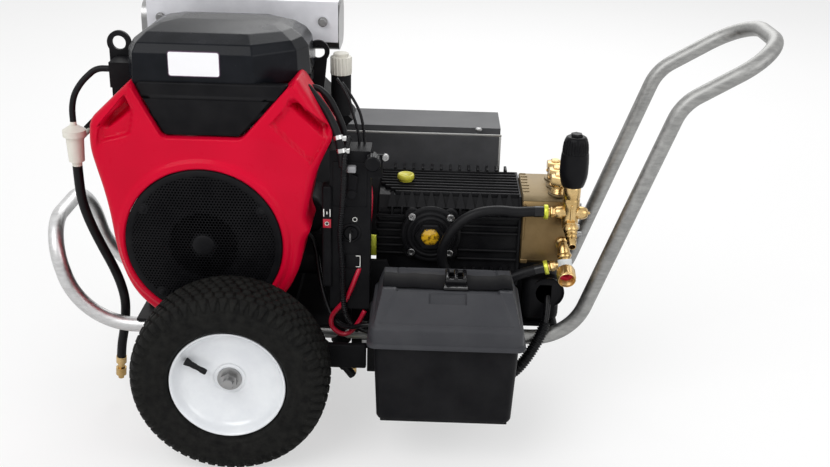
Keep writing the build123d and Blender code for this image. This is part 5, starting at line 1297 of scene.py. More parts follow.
def sideCoverForms(plan, pump):  # stepped round lid on a plate with a lobe at each bolt
    cx, cz = pump["middle"]
    r, reach, lobe = plan["radius"], pump["boltReach"], plan["lobe"]
    turn = np.linspace(0, 2 * np.pi, 180, endpoint=False)
    x, z = 44.0 * np.cos(turn), 44.0 * np.sin(turn)
    loop = np.stack([x, z], -1)
    for sx in (-1, 1):
        for sz in (-1, 1):
            centre = np.array([sx, sz]) * reach
            way = unit(loop)
            along = way @ centre
            off = np.sum(centre ** 2) - along ** 2
            far = np.where(
                (off < lobe ** 2) & (along > 0), along + np.sqrt(np.clip(lobe ** 2 - off, 0, None)),
                0
            )
            loop = way * np.maximum(np.linalg.norm(loop, axis=1), far)[:, None]
    soft = np.linalg.norm(loop, axis=1)
    for _ in range(6):
        soft = (np.roll(soft, 1) + 2 * soft + np.roll(soft, -1)) / 4
    loop = unit(loop) * soft[:, None] + [cx, cz]
    forms = [outlineSlab(loop[::-1], plan["plate"] - 2.5, plan["plate"] + 9, 1.6)]
    forms.append(turnedForm(plan["steps"], (cx, plan["plate"] - 1.5, cz), (0, -1, 0), 96))
    hexPoints, faces = turnedForm(
        [
            (plan["hexReach"], 0), (plan["hexReach"], 12.5), (plan["hexReach"] - 2.0, 14.0),
            (17.5, 14.0), (16.5, 10.0), (15.0, 8.6), (0, 8.6)
        ],
        (cx - 1, plan["plate"] - 1.5, cz - 1), (0, -1, 0), 6
    )
    forms.append((hexPoints, faces))
    return forms


def socketScrew(centre, axis, head=6.4, tall=6.0, bore=3.2):
    # cap screw with a plain round side and a round bore, on a washer
    body = turnedForm(
        [
            (head * 0.55, -3), (head, -3), (head, tall - 0.8), (head - 0.8, tall),
            (bore + 0.6, tall), (bore, tall - 0.7), (bore, tall - 3.2), (0, tall - 3.2)
        ],
        centre, axis, 24
    )
    washer = turnedForm(
        [(head + 2.4, -3), (head + 2.4, -1.6), (head + 1.8, -1.0), (0, -1.0)], centre, axis, 24
    )
    return [body, washer]


sideCover = addParts(
    "pumpSideCover", sideCoverForms(coverSide, pumpPlan), "castBlack", "chassis", "cast_black",
    sharp=38
)
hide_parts("pump_cover")
screws = []
for sx in (-1, 1):
    for sz in (-1, 1):
        x, z = (pumpPlan["middle"][k] + s * pumpPlan["boltReach"] for k, s in ((0, sx), (1, sz)))
        screws += socketScrew((x, coverSide["plate"] - 3.4, z), (0, -1, 0))
addParts("coverScrews", screws, "zincPlate", "chassis", "zinc_steel", sharp=36)


def amberGlass(name):  # oil behind glass: bright yellow with brown islands
    made, tree, shader, where = startFinish(name, (0.72, 0.42, 0.02), 0.12, 0.0, 0.6, 0.05)
    patch = noiseOf(tree, where, 120, 3, 0.6)
    feed(tree, shader, {
        "Base Color": mixColours(tree, patch, (0.80, 0.46, 0.02), (0.10, 0.05, 0.005), 0.5, 0.64)
    })
    bumpFrom(tree, shader, patch, 0.4, 0.0006)
    return made


finish["amberGlass"] = amberGlass("amberGlass")
addMesh(
    "sightGlass",
    *turnedForm(
        [
            (coverSide["glass"] + 3, 0), (coverSide["glass"] + 3, 2.4), (coverSide["glass"], 3.2),
            (coverSide["glass"] * 0.6, 4.4), (0, 4.8)
        ],
        (pumpPlan["middle"][0] - 1, coverSide["plate"] - 9.6, pumpPlan["middle"][1] - 1),
        (0, -1, 0), 48
    ),
    "amberGlass", "chassis", "cast_black")

dipLow, dipHigh = nodeBox("dipstick_cap")
dipPlan = {"middle": ((dipLow + dipHigh) / 2)[:2], "seat": pumpHigh[2], "radius": 14.6, "tall": 12.5}


def dipForms(plan):  # low round cap with a ribbed rim, on its rod
    r, h = plan["radius"], plan["tall"]
    cap, faces = turnedForm(
        [
            (r - 3, 0.2), (r - 2.6, 3), (r - 0.6, 3.6), (r, 4.6), (r, h - 2.4), (r - 0.9, h - 0.8),
            (r - 2.6, h), (r - 4.4, h - 0.4), (r - 5.4, h - 1.6), (0, h - 1.8)
        ],
        (*plan["middle"], plan["seat"]), (0, 0, 1), 72
    )
    turn = np.arctan2(cap[:, 1] - plan["middle"][1], cap[:, 0] - plan["middle"][0])
    reach = np.hypot(cap[:, 0] - plan["middle"][0], cap[:, 1] - plan["middle"][1])
    wave = 1 - 0.035 * (0.5 + 0.5 * np.cos(turn * 24)) * (reach > r - 1)
    cap[:, :2] = plan["middle"] + (cap[:, :2] - plan["middle"]) * wave[:, None]
    stick = turnedForm([(2.4, -88), (2.4, 0.4)], (*plan["middle"], plan["seat"]), (0, 0, 1), 16)
    return [(cap, faces), stick]


dipPiece = addParts(
    "dipstickCap", dipForms(dipPlan), "yellowGloss", "pump_dipstick", "yellow_plastic", sharp=50
)
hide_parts("dipstick_cap")
print("pump case and side cover made")

# brass head, unloader and hose ends
headPlan = {
    "left": 458.0, "right": 538.0, "near": -76.0, "far": 50.0, "base": 278.0, "top": 396.0,
    "cap": 7.0, "rows": (-49.0, -13.0, 23.0), "capX": 518.0, "studs": (-64.0, -31.0, 5.0, 38.0),
    "studHeights": (330.0, 369.0),
}
unloaderPlan = {
    "middle": (534.0, -96.0), "low": 350.0, "armHeight": 381.0,
    "outlet": 366.0, "slope": 22.0, "knobLow": 428.3, "band": (58.0, 73.0), "flutes": 26,
    "knob": [  # radius and height above the knob's foot
        (14.5, 0), (17.6, 0), (18.3, 1.4), (20.4, 8), (22.1, 15), (22.9, 22), (23.0, 30),
        (22.9, 40), (22.3, 50), (21.6, 55.4), (20.6, 56.0), (20.6, 57.2), (21.2, 58.0), (20.9, 64),
        (20.2, 70), (19.2, 74), (18.0, 78), (16.4, 81.4), (13.8, 83.0), (9.4, 83.2),
    ],
}
inletPlan = {
    "path": [(528, -76, 318), (528, -87, 318.5), (530, -96, 304), (532, -104, 287)],
    "turn": (532.0, -104.0, 287.0), "slope": 14.0, "nut": (10.0, 36.0), "outer": 15.5, "bore": 12.9,
}
hoseEnds = {
    "top": ((491.0, -96.0, 381.0), (1, 0, 0)), "low": ((498.0, -100.0, 282.6), (0.965, 0, 0.263))
}
bypassPlan = {
    "radius": 8.5, "sleeve": 17.0, "route": [
        (491, -96, 381), (470, -96, 381), (446, -100, 380), (414, -103, 384), (382, -106, 380),
        (355, -107, 364), (337, -107, 340), (327, -106, 313), (327, -104, 286), (342, -102, 264),
        (370, -100, 253), (403, -98, 250), (437, -98, 258), (468.1, -100, 274.4),
        (498, -100, 282.6),
    ],
}


def headForms(plan):  # cast block with a sloped near edge, and a lip along the pump side
    near, far, top = plan["near"], plan["far"], plan["top"] - plan["cap"]
    outline = [
        (near + 7, plan["base"]), (far - 7, plan["base"]), (far, plan["base"] + 7), (far, top),
        (near + 5, top), (near, top - 8), (near, plan["base"] + 7)
    ]
    forms = [slabAcross(outline, plan["left"], plan["right"], 2.2)]
    forms.append(roundedBox(
        (plan["left"] + 0.4, near - 1.6, 322), (plan["left"] + 5.6, near + 4, top - 4), 1.6, 3
    ))
    forms.append(roundedBox(
        (plan["left"] + 0.6, near - 0.8, plan["base"] + 1),
        (plan["left"] + 13, near + 6, plan["base"] + 9), 1.8, 3
    ))
    for y in plan["rows"]:
        forms.append(turnedForm(
            [(15.5, -2), (15.5, 1.0), (14.5, 2.0), (0, 2.0)], (plan["right"], y, 335), (1, 0, 0), 40
        ))
    return forms


def headTopForms(plan):  # machined top with a boss under each cap and short ribs beside the pump
    near, far, low = plan["near"] + 5, plan["far"], plan["top"] - plan["cap"]
    outline = [
        (near, low), (far, low), (far, plan["top"] - 3), (far - 3, plan["top"]),
        (near + 9, plan["top"]), (near, low + 1)
    ]
    forms = [slabAcross(outline, plan["left"], plan["right"], 1.2)]
    for k in range(7):
        y = -44 + 14.6 * k
        forms.append(roundedBox(
            (plan["left"] + 1.5, y - 1.3, plan["top"] - 2),
            (plan["left"] + 12 + (k % 3), y + 1.3, plan["top"] + 1.6), 1.0, 2
        ))
    for y in plan["rows"]:
        forms.append(turnedForm(
            [(17.5, -1), (17.5, 1.6), (16.4, 2.6), (12.5, 2.6)], (plan["capX"], y, plan["top"]),
            (0, 0, 1), 48
        ))
    return forms


def valveCapForms(plan):  # threaded neck, six flats with both ends chamfered, a round boss on top
    forms = []
    for y in plan["rows"]:
        foot = (plan["capX"], y, plan["top"])
        neck = [(12.2, 0)]
        for k in range(4):
            neck += [(12.8, 3.2 + 2.6 * k), (11.9, 4.5 + 2.6 * k)]
        forms.append(turnedForm(
            neck + [(12.4, 14.2), (15.4, 15.0), (15.4, 16.2), (11, 16.4)], foot, (0, 0, 1), 40
        ))
        forms.append(turnedForm(
            [
                (12.6, 15.6), (15.6, 16.8), (16.1, 18.4), (16.1, 29.6), (15.2, 31.4), (12.4, 32.2),
                (8.6, 32.4), (8.2, 34.6), (7.2, 35.6), (0, 35.6)
            ],
            foot, (0, 0, 1), 6
        ))
    return forms


def studForms(plan):  # washer, nut and stud end on the outer face
    forms = []
    for y in plan["studs"]:
        for z in plan["studHeights"]:
            seat = (plan["right"], y, z)
            forms.append(turnedForm([(9.4, -1), (9.4, 1.4), (8.8, 1.8), (0, 1.8)], seat, (1, 0, 0), 28))
            forms.append(turnedForm(
                [(7.2, 1), (8.3, 2.0), (8.3, 8.4), (7.2, 9.4), (4.4, 9.4)], seat, (1, 0, 0), 6
            ))
            forms.append(turnedForm(
                [(4.6, 8), (4.6, 21.4), (3.8, 22.4), (0, 22.4)], seat, (1, 0, 0), 16
            ))
    return forms


def hoseEndForms(start, way):  # nut and nipple, and the crimped ring apart from them
    nut = turnedForm(
        [(6.4, 9.6), (8.0, 10.4), (8.6, 11.4), (8.6, 15.6), (8.0, 16.6), (6.0, 17.2)], start, way, 6
    )
    neck = turnedForm([(6.0, 4), (6.6, 6.2), (7.4, 7.2), (7.4, 8.4), (6.0, 9.6)], start, way, 32)
    seal = turnedForm([(7.0, 16.6), (7.9, 17.0), (7.9, 19.6), (7.0, 20.0)], start, way, 32)
    ring = turnedForm(
        [
            (8.4, -0.6), (11.2, -0.4), (12.1, 0.6), (12.2, 3.4), (12.2, 5.6), (11.4, 6.5),
            (7.4, 6.6), (7.2, 3)
        ],
        start, way, 48
    )
    return [nut, neck, seal], ring


def unloaderForms(plan):
    # upright body, an arm to each side and a stub behind, and the threaded sloping outlet
    x, y = plan["middle"]
    low, z = plan["low"], plan["armHeight"]
    body = [
        (0, 0), (9.5, 0), (11.5, 2.5), (12.6, 8), (13.6, 12), (13.9, 20), (13.2, 24), (13.2, 38),
        (14.0, 42), (14.0, 55), (13.4, 56), (13.4, 57.6), (14.0, 58.6), (14.0, 74), (13.4, 76),
        (12.4, 78)
    ]
    forms = [turnedForm(body, (x, y, low), (0, 0, 1), 56)]
    forms.append(roundedBox((x - 2.0, y - 16.4, low + 8), (x + 2.0, y - 8, z + 18), 1.9, 4))
    forms.append(turnedForm(
        [(9.4, 4), (10.3, 10), (10.7, 15), (10.4, 20), (9.0, 24), (7.2, 25), (0, 25)], (x, y, z),
        (-1, 0, 0), 40
    ))
    forms.append(turnedForm(
        [
            (9.0, 4), (10.2, 9), (10.9, 15), (10.4, 21), (8.6, 26), (5.6, 28.4), (2.2, 29),
            (2.0, 32), (0, 32.4)
        ],
        (x, y, z), (1, 0, 0), 40
    ))
    forms.append(turnedForm([(10, -2), (10, 22)], (x - 8, y - 2, z), (0, 1, 0), 40))
    slope = math.radians(plan["slope"])
    way = (0.0, -math.cos(slope), -math.sin(slope))
    start = (x, y, plan["outlet"])
    forms.append(turnedForm(
        [(10, 6), (12.4, 10.0), (13.6, 11.2), (13.6, 17.2), (12.2, 18.4), (8, 18.4)], start, way, 6
    ))
    thread = [(9, 17), (11.6, 18.6), (11.6, 20.4)]
    for k in range(5):
        thread += [(9.6, 21.4 + 2.4 * k), (10.9 - 0.3 * k, 22.6 + 2.4 * k)]
    thread += [
        (8.0, 34), (8.0, 36.5), (9.2, 37.5), (9.2, 39.5), (8.0, 40.5), (6.9, 42), (6.9, 47),
        (7.6, 48), (7.6, 50), (6.4, 52), (6.4, 59.2), (5.9, 60), (5.1, 60), (4.8, 58.6), (4.6, 46),
        (0, 46)
    ]
    forms.append(turnedForm(thread, start, way, 40))
    return forms


def knobForm(plan):  # barrel profile; a cosine pulls the band in between its ribs
    foot = (*plan["middle"], plan["knobLow"])
    points, faces = turnedForm(plan["knob"], foot, (0, 0, 1), 26 * 8)
    rise = points[:, 2] - plan["knobLow"]
    away = points[:, :2] - foot[:2]
    turn = np.arctan2(away[:, 1], away[:, 0])
    inBand = (rise > plan["band"][0] - 0.5) & (rise < plan["band"][1] + 2)
    pull = 1 - 0.055 * inBand * np.clip(0.5 - 0.9 * np.cos(turn * plan["flutes"]), 0, 1)
    points[:, :2] = foot[:2] + away * pull[:, None]
    boss = turnedForm(
        [(10.6, 82), (10.6, 83.6), (9.8, 86.6), (8.8, 87.7), (0, 87.7)], foot, (0, 0, 1), 6
    )
    return joinParts([(points, faces), boss])


def inletForms(plan):
    # elbow of changing radius carried along its path, and the spigot that the nut turns on
    line = evenPath(smoothPath(plan["path"], 10), 1.4)
    along = np.linspace(0, 1, len(line))
    steps = np.interp(
        along, [0, 0.1, 0.12, 0.26, 0.28, 0.52, 0.54, 0.64, 0.66, 0.74, 1],
        [11.6, 11.6, 8.8, 8.8, 9.8, 10.6, 12.6, 12.6, 10.2, 10.0, 10.0]
    )
    forms = [carriedSection(line, steps, 32)]
    slope = math.radians(plan["slope"])
    way = (0.0, -math.cos(slope), -math.sin(slope))
    forms.append(turnedForm(
        [
            (0, -12), (7, -10.4), (10.6, -5), (11.6, 0), (11.0, 4), (9.0, 8), (9.0, 16.5),
            (5.2, 17), (5.0, 6), (0, 6)
        ],
        plan["turn"], way, 40
    ))
    return forms, line, way


def nutForm(plan, way):  # ribbed outside, threaded inside down to the washer's seat
    start, end = plan["nut"]
    outer, bore = plan["outer"], plan["bore"]
    inside = []
    for k in range(5):
        inside += [(bore - 0.2, end - 2.4 - 3 * k), (bore - 1.1, end - 3.9 - 3 * k)]
    profile = [
        (9.2, start), (outer - 2.2, start), (outer - 0.8, start + 1.6), (outer, start + 3),
        (outer, end - 4), (outer - 0.9, end - 3.4), (outer - 0.9, end - 1), (outer - 1.6, end),
        (bore + 0.3, end), (bore, end - 0.8), *inside, (bore, start + 7.8), (9.2, start + 7.8)
    ]
    points, faces = turnedForm(profile + [profile[0]], plan["turn"], way, 80)
    faces = [f for f in faces if len(f) == 4]
    centre = np.array(plan["turn"])
    along = (points - centre) @ np.array(way)
    away = points - centre - along[:, None] * np.array(way)
    reach = np.linalg.norm(away, axis=1)
    a, b = acrossAxes(way)
    turn = np.arctan2(away @ b, away @ a)
    onSide = (reach > outer - 0.5) & (along > start + 2) & (along < end - 3.8)
    pull = 1 - 0.06 * onSide * (np.cos(turn * 10) > 0.55)
    return centre + along[:, None] * np.array(way) + away * pull[:, None], faces


# the block's finish carries painted shade and the top plate's finish carries painted light
head = addParts("brassHead", headForms(headPlan), "headBrass", "chassis", "brass", sharp=36)
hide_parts("pump_head")
addParts("brassHeadTop", headTopForms(headPlan), "headTop", "chassis", "brass", sharp=36)
caps = addParts("valveCaps", valveCapForms(headPlan), "machinedBrass", "chassis", "brass", sharp=34)
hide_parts("valve_caps")
addParts("headStuds", studForms(headPlan), "zincPlate", "chassis", "zinc_steel", sharp=36)

ends, rings = [], []
for start, way in hoseEnds.values():
    solid, ring = hoseEndForms(start, way)
    ends.append(solid)
    rings.append(ring)
lowWay = unit(hoseEnds["low"][1])
nipple = turnedForm([(4.6, 14), (4.6, 31)], hoseEnds["low"][0], lowWay, 24)
unloader = addParts(
    "unloaderBody", unloaderForms(unloaderPlan) + ends[0], "machinedBrass", "chassis", "brass",
    sharp=34
)
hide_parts("unloader_valve")
knob = addMesh(
    "pressureKnob", *knobForm(unloaderPlan), "knobBlack", "pressure_knob", "black_plastic", sharp=34
)
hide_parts("unloader_knob")
addParts("hoseFerrules", rings, "ferruleZinc", "chassis", "yellow_plastic", sharp=40)

elbowForms, elbowLine, inletWay = inletForms(inletPlan)
elbow = addParts(
    "inletElbow", elbowForms + ends[1] + [nipple], "machinedBrass", "chassis", "brass", sharp=34
)
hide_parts("inlet_elbow")
tapeStart = int(len(elbowLine) * 0.72)
addMesh(
    "sealingTape",
    *carriedSection(
        elbowLine[tapeStart:],
        np.interp(np.arange(len(elbowLine) - tapeStart) % 4, [0, 3], [11.5, 11.9]), 32
    ),
    "tapeWhite", "chassis", "brass"
)
nut = addMesh(
    "inletNut", *nutForm(inletPlan, inletWay), "machinedBrass", "inlet_coupling", "brass", sharp=34
)
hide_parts("inlet_nut")
seat = inletPlan["nut"][0] + 8
addMesh(
    "inletWasher",
    *turnedForm(
        [
            (5.6, seat), (12.2, seat), (12.4, seat + 0.8), (12.2, seat + 2.6), (5.8, seat + 2.6),
            (5.6, seat)
        ],
        inletPlan["turn"], inletWay, 48
    ),
    "washerRed", "inlet_coupling", "brass", sharp=40
)

bypassLine = evenPath(smoothPath(bypassPlan["route"], 16), 4)
bypass = addMesh(
    "bypassHose", *carriedSection(bypassLine, bypassPlan["radius"], 24), "softRubber", "chassis",
    "rubber"
)
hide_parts("bypass_hose")
sleeveCount = int(bypassPlan["sleeve"] / 4)
sleeves = [
    carriedSection(evenPath(part, 1.5), 9.1, 28)
    for part in (bypassLine[:sleeveCount + 1], bypassLine[-sleeveCount - 1:])
]
addParts("hoseSleeves", sleeves, "buckleGloss", "chassis", "rubber", sharp=40)
print("brass head, unloader and bypass hose made")

# controls, hoses and leads
leadPlan = {  # route, radius, finish; a ribbed one is corrugated
    "midCable": (
        [
            (174, -126, 506), (172, -150, 502), (170, -170, 482), (170, -175, 446),
            (168, -174, 408), (164, -166, 372), (163, -163, 350), (167, -163, 304),
            (167, -163, 269), (169, -160, 229), (175, -150, 196), (190, -140, 176)
        ],
        4.8, "loomPlastic", True
    ),
    "redLead": (
        [
            (196, -146, 300), (188, -157, 280), (180, -158, 258), (172, -156, 238),
            (160, -153, 224), (147, -150, 205), (147, -150, 186), (162, -150, 173),
            (176, -150, 173), (190, -150, 190), (203, -149, 217)
        ],
        4.0, "redLead", False
    ),
    "redLoop": (
        [(206, -96, 352), (208, -88, 380), (207, -80, 408), (200, -72, 430)], 3.4, "redLead", False
    ),
    "cableLeft": (
        [
            (152, -84, 590), (172, -108, 572), (179, -112, 543), (188, -112, 514), (191, -114, 486),
            (186, -120, 462)
        ],
        2.3, "loomPlastic", False
    ),
    "cableRight": (
        [(160, -84, 584), (186, -104, 556), (196, -108, 523), (198, -110, 488), (204, -116, 470)],
        2.3, "loomPlastic", False
    ),
    "ventSleeve": (
        [
            (108, -118, 585), (124, -124, 568), (142, -134, 548), (157, -148, 521),
            (165, -157, 496), (168, -160, 470)
        ],
        7.0, "softRubber", False
    ),
}


def ribbedRadii(line, radius, pitch=4.2, depth=0.9):  # a softened square wave along the line
    along = np.r_[0, np.cumsum(np.linalg.norm(np.diff(line, axis=0), axis=1))]
    return radius - depth / 2 + depth * np.clip(1.6 * np.cos(2 * np.pi * along / pitch), -0.5, 0.5)


for leadName, (route, radius, look, ribbed) in leadPlan.items():
    line = evenPath(smoothPath(route, 14), 0.7 if ribbed else 3)
    addMesh(
        leadName, *carriedSection(line, ribbedRadii(line, radius) if ribbed else radius, 14), look,
        "chassis", "loom_plastic" if look == "loomPlastic" else "rubber",
        sharp=50 if ribbed else None
    )
wiringPlan = {
    "starter": [
        (222.7, -175, 205), (204, -175, 205), (183, -165, 193), (160, -150, 190), (143, -134, 205),
        (131, -117, 234), (122, -98, 264), (117, -84, 295), (108, -78, 322), (84, -75, 330)
    ],
    "panel": [
        (172, -130, 224), (172, -130, 207), (178, -138, 193), (191, -148, 184), (206, -153, 180),
        (222, -153, 180)
    ],
    "stem": [(510, -66, 240), (509, -84, 230), (508, -104, 208), (503, -120, 182)],
    "loom": [
        (505, -116, 190), (500, -122, 174), (488, -132, 152), (471, -138, 124), (455, -138, 104),
        (442, -134, 92)
    ],
}
for leadName, route in wiringPlan.items():
    ribs = leadName == "loom"
    line = evenPath(smoothPath(route, 14), 0.7 if ribs else 3)
    radius = ribbedRadii(line, 10.0, 4.6, 1.8) if ribs else 5.6 if leadName == "stem" else 4
    addMesh(
        leadName + "Lead", *carriedSection(line, radius, 16), "loomPlastic", "chassis",
        "loom_plastic", sharp=50 if ribs else None
    )
relayPlan = {
    "boxes": [((466, -92, 175), (529, -44, 262), 15, 5), ((452, -60, 176), (500, -8, 282), 12, 4)],
    "drum": [(0, 0), (24, 0), (27, 3), (27, 30), (20, 34), (0, 34)], "drumPlace": (508, -58, 232),
    "ring": [(27.2, 30), (28.2, 31), (28.2, 33), (27.2, 34), (27.2, 30)],
}
relay = [roundedBox(*box) for box in relayPlan["boxes"]]
relay.append(turnedForm(relayPlan["drum"], relayPlan["drumPlace"], (0, -1, 0), 48))
relayPiece = addParts("relayBoot", relay, "boxPlastic", "chassis", "black_plastic", sharp=40)
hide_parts("wiring")
addMesh(
    "relayRing", *turnedForm(relayPlan["ring"], relayPlan["drumPlace"], (0, -1, 0), 48),
    "buckleGloss", "chassis", "black_plastic", sharp=40
)


panelFace = nodeBox("control_panel")[0][1]
outwards = (0, -1, 0)
controlPlan = {  # places are x and z on the panel's face
    "throttle": (181.0, 425.0), "choke": (214.0, 480.0), "key": (180.0, 357.0),
    "chokeDisc": (233.0, 484.0), "arm": [(-7, -6), (7, -6), (8, 12), (10, 30), (-5, 36), (-6, 10)],
    "armPin": [(7.6, 1), (7.6, 9.4), (6.8, 10.2), (0, 10.2)],
    "knob": [
        (4, -30), (4, 0.8), (11.4, 1.0), (12.8, 2.0), (13.0, 5), (13.0, 17), (12.2, 20.6),
        (10.4, 22), (5, 21.4), (0, 21.2)
    ],
    "flutes": 15, "fluteDepth": 0.05, "fluteFrom": 12.5,
    "disc": [(5.4, -6), (5.4, 0.6), (4.4, 1.6), (2.2, 1.6), (1.8, 0.8), (0, 0.8)],
    "bezel": [(16, -1), (16, 1.6), (14.6, 2.8), (12.6, 2.8), (12.2, 1.0), (11.8, -1)],
    "barrel": [(11, -14), (11, 1.2), (10.2, 2.2), (0, 2.2)], "blade": (1.3, 7.6, 23.6),
    "clamps": [((159.5, -150.5, 514), (0.32, -0.38, -1)), ((165, -157, 496), (0.2, -0.2, -1))],
    "clampRadius": 7.2,
}
# blocks on the panel: two corners in x and z, reach behind and before the face, edge radius, cuts
mouldings = [
    ((170, 295), (196, 319.5), 1, 2.4, 1.6, 3), ((134, 262), (150, 436), 20, 5, 4, 4),
    ((151, 402), (205, 476), 1, 1.8, 1.2, 3),
]
markBars = [
    ((194.2, 299), (195.4, 317), -2.2, 3.0, 0.3, 1),
    ((188, 317), (195.4, 318.2), -2.2, 3.0, 0.3, 1),
    ((188, 298), (195.4, 299.2), -2.2, 3.0, 0.3, 1),
    ((136.2, 385), (137.8, 398), -4.6, 5.7, 0.3, 1),
    ((146.2, 385), (147.8, 398), -4.6, 5.7, 0.3, 1),
    ((141.2, 389.1), (142.8, 393.9), -4.6, 5.7, 0.3, 1),
]
# place, height over the face, two radii
markRings = [((186, 380), 0.4, 2.9, 3.9), ((142, 373.5), 5.6, 2.4, 3.3)]
patch = ((135.6, 366), (148.6, 381), -4.6, 5.5, 0.4, 2)


def faceBlock(low, high, behind, before, radius, cuts):
    # block on the panel's face, from behind it to before it
    return roundedBox(
        (low[0], panelFace - before, low[1]), (high[0], panelFace + behind, high[1]), radius, cuts
    )


def onFace(place, lift=0.0):  # place on the panel's face, lifted off it towards the front
    return (place[0], panelFace - lift, place[1])


def clampForms(centre, way, radius):  # thin band with a screw housing on one side
    band = turnedForm(
        [(radius, -3.4), (radius + 0.9, -3.2), (radius + 0.9, 3.2), (radius, 3.4)], centre, way, 40
    )
    side = np.array(centre) + np.array([radius + 2, -2, 0])
    return [band, roundedBox(side - [3, 4, 3], side + [4, 4, 3.6], 1.2, 2)]


def leverForms(plan):  # bent strip from its pin up to the grip
    x, z = plan["throttle"]
    strip = outlineSlab([(x + a, z + b) for a, b in plan["arm"]], panelFace - 7.6, panelFace - 1.6, 1.0)
    return [strip, turnedForm(plan["armPin"], onFace(plan["throttle"]), outwards, 28)]


def chokeForms(plan):  # round knob; a square wave of the angle draws its side in
    points, faces = turnedForm(plan["knob"], onFace(plan["choke"]), outwards, plan["flutes"] * 8)
    away = points[:, [0, 2]] - plan["choke"]
    reach = np.linalg.norm(away, axis=1)
    inFlute = np.cos(np.arctan2(away[:, 1], away[:, 0]) * plan["flutes"]) > 0.2
    wave = 1 - plan["fluteDepth"] * (reach > plan["fluteFrom"]) * inFlute
    points[:, [0, 2]] = plan["choke"] + away * wave[:, None]
    return points, faces


clamps = [
    form for place, way in controlPlan["clamps"]
    for form in clampForms(place, way, controlPlan["clampRadius"])
]
addParts("hoseClamps", clamps, "turnedSteel", "chassis", "zinc_steel", sharp=36)
addParts("throttleArm", leverForms(controlPlan), "mouldedBlack", "throttle", "black_plastic", sharp=36)
x, z = controlPlan["throttle"]
gripForm = roundedBox((x - 7.2, panelFace - 14.6, z + 37), (x + 7.2, panelFace - 1.4, z + 47.6), 2.6, 4)
grip = addMesh("throttleGrip", *gripForm, "greyMoulded", "throttle", "grey_plastic")
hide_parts("throttle_lever")
chokeKnob = addMesh(
    "chokeGrip", *chokeForms(controlPlan), "knobBlack", "choke", "black_plastic", sharp=36
)
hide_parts("choke_knob")
disc = turnedForm(controlPlan["disc"], onFace(controlPlan["chokeDisc"]), outwards, 32)
addMesh("chokeDisc", *disc, "zincPlate", "chassis", "zinc_steel", sharp=36)
bezel = turnedForm(controlPlan["bezel"], onFace(controlPlan["key"]), outwards, 48)
addParts(
    "panelMouldings", [bezel] + [faceBlock(*row) for row in mouldings], "mouldedBlack", "chassis",
    "black_plastic", sharp=36
)
barrel = turnedForm(controlPlan["barrel"], onFace(controlPlan["key"]), outwards, 40)
key = addMesh("keyBarrel", *barrel, "knobBlack", "ignition_key", "black_plastic", sharp=36)
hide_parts("key_switch")
x, z = controlPlan["key"]
half, tall, out = controlPlan["blade"]
blade = roundedBox((x - half, panelFace - out, z - tall), (x + half, panelFace - 1, z + tall), 1.0, 2)
addMesh("keyBlade", *blade, "keySteel", "ignition_key", "bare_steel", sharp=36)
marks = [faceBlock(*row) for row in markBars]
for place, lift, inner, outer in markRings:
    ring = [(inner, 0), (inner, 0.5), (outer, 0.5), (outer, 0), (inner, 0)]
    marks.append(turnedForm(ring, onFace(place, lift), outwards, 28))
addParts("panelMarks", marks, "ceramic", "chassis", "white_plastic", smooth=False)
addMesh("panelPatch", *faceBlock(*patch), "redLead", "chassis", "red_cover")

bracePlan = {
    "plate": [(197, 214), (246, 214), (246, 262), (236, 292), (197, 292)], "plateY": (-112, -104),
    "blocks": [((178, -112, 126), (207, -100, 214), 2, 3), ((138, -178, 124), (207, -166, 167), 3, 3)],
    "can": [(0, 0), (15, 0), (17, 2), (17, 58), (15, 60), (0, 60)], "canPlace": (160, -104, 136),
    "bracket": ((203, -82, 287), (217, -78, 324), 1.2, 3),
}
drainPlan = {
    "way": (0, -0.1, -1), "ferrule": [(7.6, -7), (9.4, -6.4), (9.6, 0), (9.4, 6.4), (7.6, 7)],
    "ferrulePlace": (181, -131, 118),
    "plug": [
        (6.4, 0), (7.2, 1.6), (7.2, 9), (8.4, 10), (8.4, 20), (7.4, 21.6), (5.2, 22), (5.2, 26),
        (0, 26.4)
    ],
    "plugPlace": (181, -131.6, 111),
}
brace = outlineSlab(bracePlan["plate"], *bracePlan["plateY"], 1.2)
braces = [brace] + [roundedBox(*row) for row in bracePlan["blocks"]]
braces.append(turnedForm(bracePlan["can"], bracePlan["canPlace"], (0, 0, 1), 40))
addParts("sideBraces", braces, "engineCast", "chassis", "black_steel", sharp=40)
addMesh("panelBracket", *roundedBox(*bracePlan["bracket"]), "ferruleZinc", "chassis", "zinc_steel")
ferrule = turnedForm(drainPlan["ferrule"], drainPlan["ferrulePlace"], drainPlan["way"], 40)
addMesh("drainFerrule", *ferrule, "ferruleZinc", "chassis", "brass", sharp=36)
plug = turnedForm(drainPlan["plug"], drainPlan["plugPlace"], drainPlan["way"], 6)
addMesh("drainPlug", *plug, "machinedBrass", "chassis", "brass", sharp=36)
print("controls, hoses and leads made")

# engine trim, guard and tray
trimPlan = {
    "crank": (-50.0, 0, 342.0),
    "shroud": [
        (123.0, -181.5), (124.5, -181.5), (124.5, -106), (46, -100), (46, -103), (121.5, -109),
        (123.0, -181.5)
    ],
    "topScrews": (388, -92), "topScrewBack": 24,
    "topScrew": [(6.0, -1), (6.0, 1.0), (4.2, 3.0), (1.6, 3.2), (0, 3.0)],
    "shieldBolts": [(-156, 649), (116, 649)], "washer": [(8.2, -1), (8.2, 1.0), (0, 1.2)],
    "bolt": [(6.0, 0), (6.6, 1.4), (6.6, 5.2), (5.8, 6.2), (0, 6.2)],
    "tray": [((236, -284, 92), (436, -132, 95.5), 1.4, 2), ((206, -131, 92), (240, -126, 166), 1.4, 2)],
}
addMesh(
    "fanShroud", *turnedForm(trimPlan["shroud"], trimPlan["crank"], (0, 1, 0), 96), "deepBlack",
    "chassis", "black_plastic", sharp=40
)
capLow, capHigh = nodeBox("oil_cap")
capMiddle = (capLow + capHigh) / 2


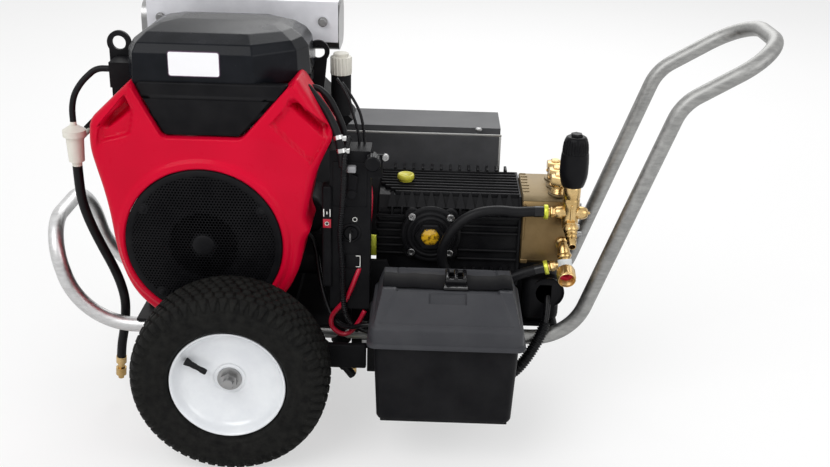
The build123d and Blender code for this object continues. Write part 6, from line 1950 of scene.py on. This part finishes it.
def oilCapForm(middle, low, high):  # cosine ribs round the side, three short steps on the crown
    height = high - low
    points, faces = turnedForm(
        [
            (14, 0), (17.6, 0), (18.2, 1.2), (18.2, height - 8), (17.2, height - 6.6),
            (13.4, height - 5.6), (13.0, height - 1.4), (11.8, height - 0.2), (4, height - 0.1),
            (0, height - 0.1)
        ],
        (middle[0], middle[1], low), (0, 0, 1), 144
    )
    away = points[:, :2] - middle[:2]
    rise = points[:, 2] - low
    inGroove = np.cos(np.arctan2(away[:, 1], away[:, 0]) * 18) > 0.1
    pull = 1 - 0.055 * (rise > 0.6) * (rise < height - 7) * inGroove
    points[:, :2] = middle[:2] + away * pull[:, None]
    return points, faces


oilCap = addMesh(
    "oilCapRibbed", *oilCapForm(capMiddle, capLow[2], capHigh[2]), "whiteMoulded", "oil_filler_cap",
    "white_plastic", sharp=36
)
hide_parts("oil_cap")
guardLow, guardHigh = nodeBox("belt_guard")
face, top = guardLow[1], guardHigh[2]
# thin lips along the guard's top and right edges, in a light copy of its sheet steel as a painted
# highlight on the fold
paintedHighlightLips = [
    roundedBox((guardLow[0], face - 1.4, top - 4.4), (guardHigh[0], face + 0.4, top - 0.6), 0.6, 2),
    roundedBox(
        (guardHigh[0] - 4, face - 1.0, guardLow[2] + 1), (guardHigh[0] - 0.4, face + 0.4, top - 4),
        0.6, 2
    ),
]
addParts("guardLipsPaintedHighlight", paintedHighlightLips, "guardLip", "chassis", "guard_steel", sharp=40)
heads = []
for x in trimPlan["topScrews"]:
    heads.append(turnedForm(
        trimPlan["topScrew"], (x, guardLow[1] + trimPlan["topScrewBack"], top), (0, 0, 1), 28
    ))
shieldFace = nodeBox("heat_shield")[0][1]
for x, z in trimPlan["shieldBolts"]:
    heads.append(turnedForm(trimPlan["washer"], (x, shieldFace, z), (0, -1, 0), 28))
    heads.append(turnedForm(trimPlan["bolt"], (x, shieldFace, z), (0, -1, 0), 6))
addParts("sheetBolts", heads, "zincPlate", "chassis", "zinc_steel", sharp=36)
trayPiece = addParts(
    "caseTray", [roundedBox(*row) for row in trimPlan["tray"]], "blackPaint", "chassis",
    "black_steel", sharp=40
)
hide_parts("battery_tray")
print("engine trim, guard and tray made")
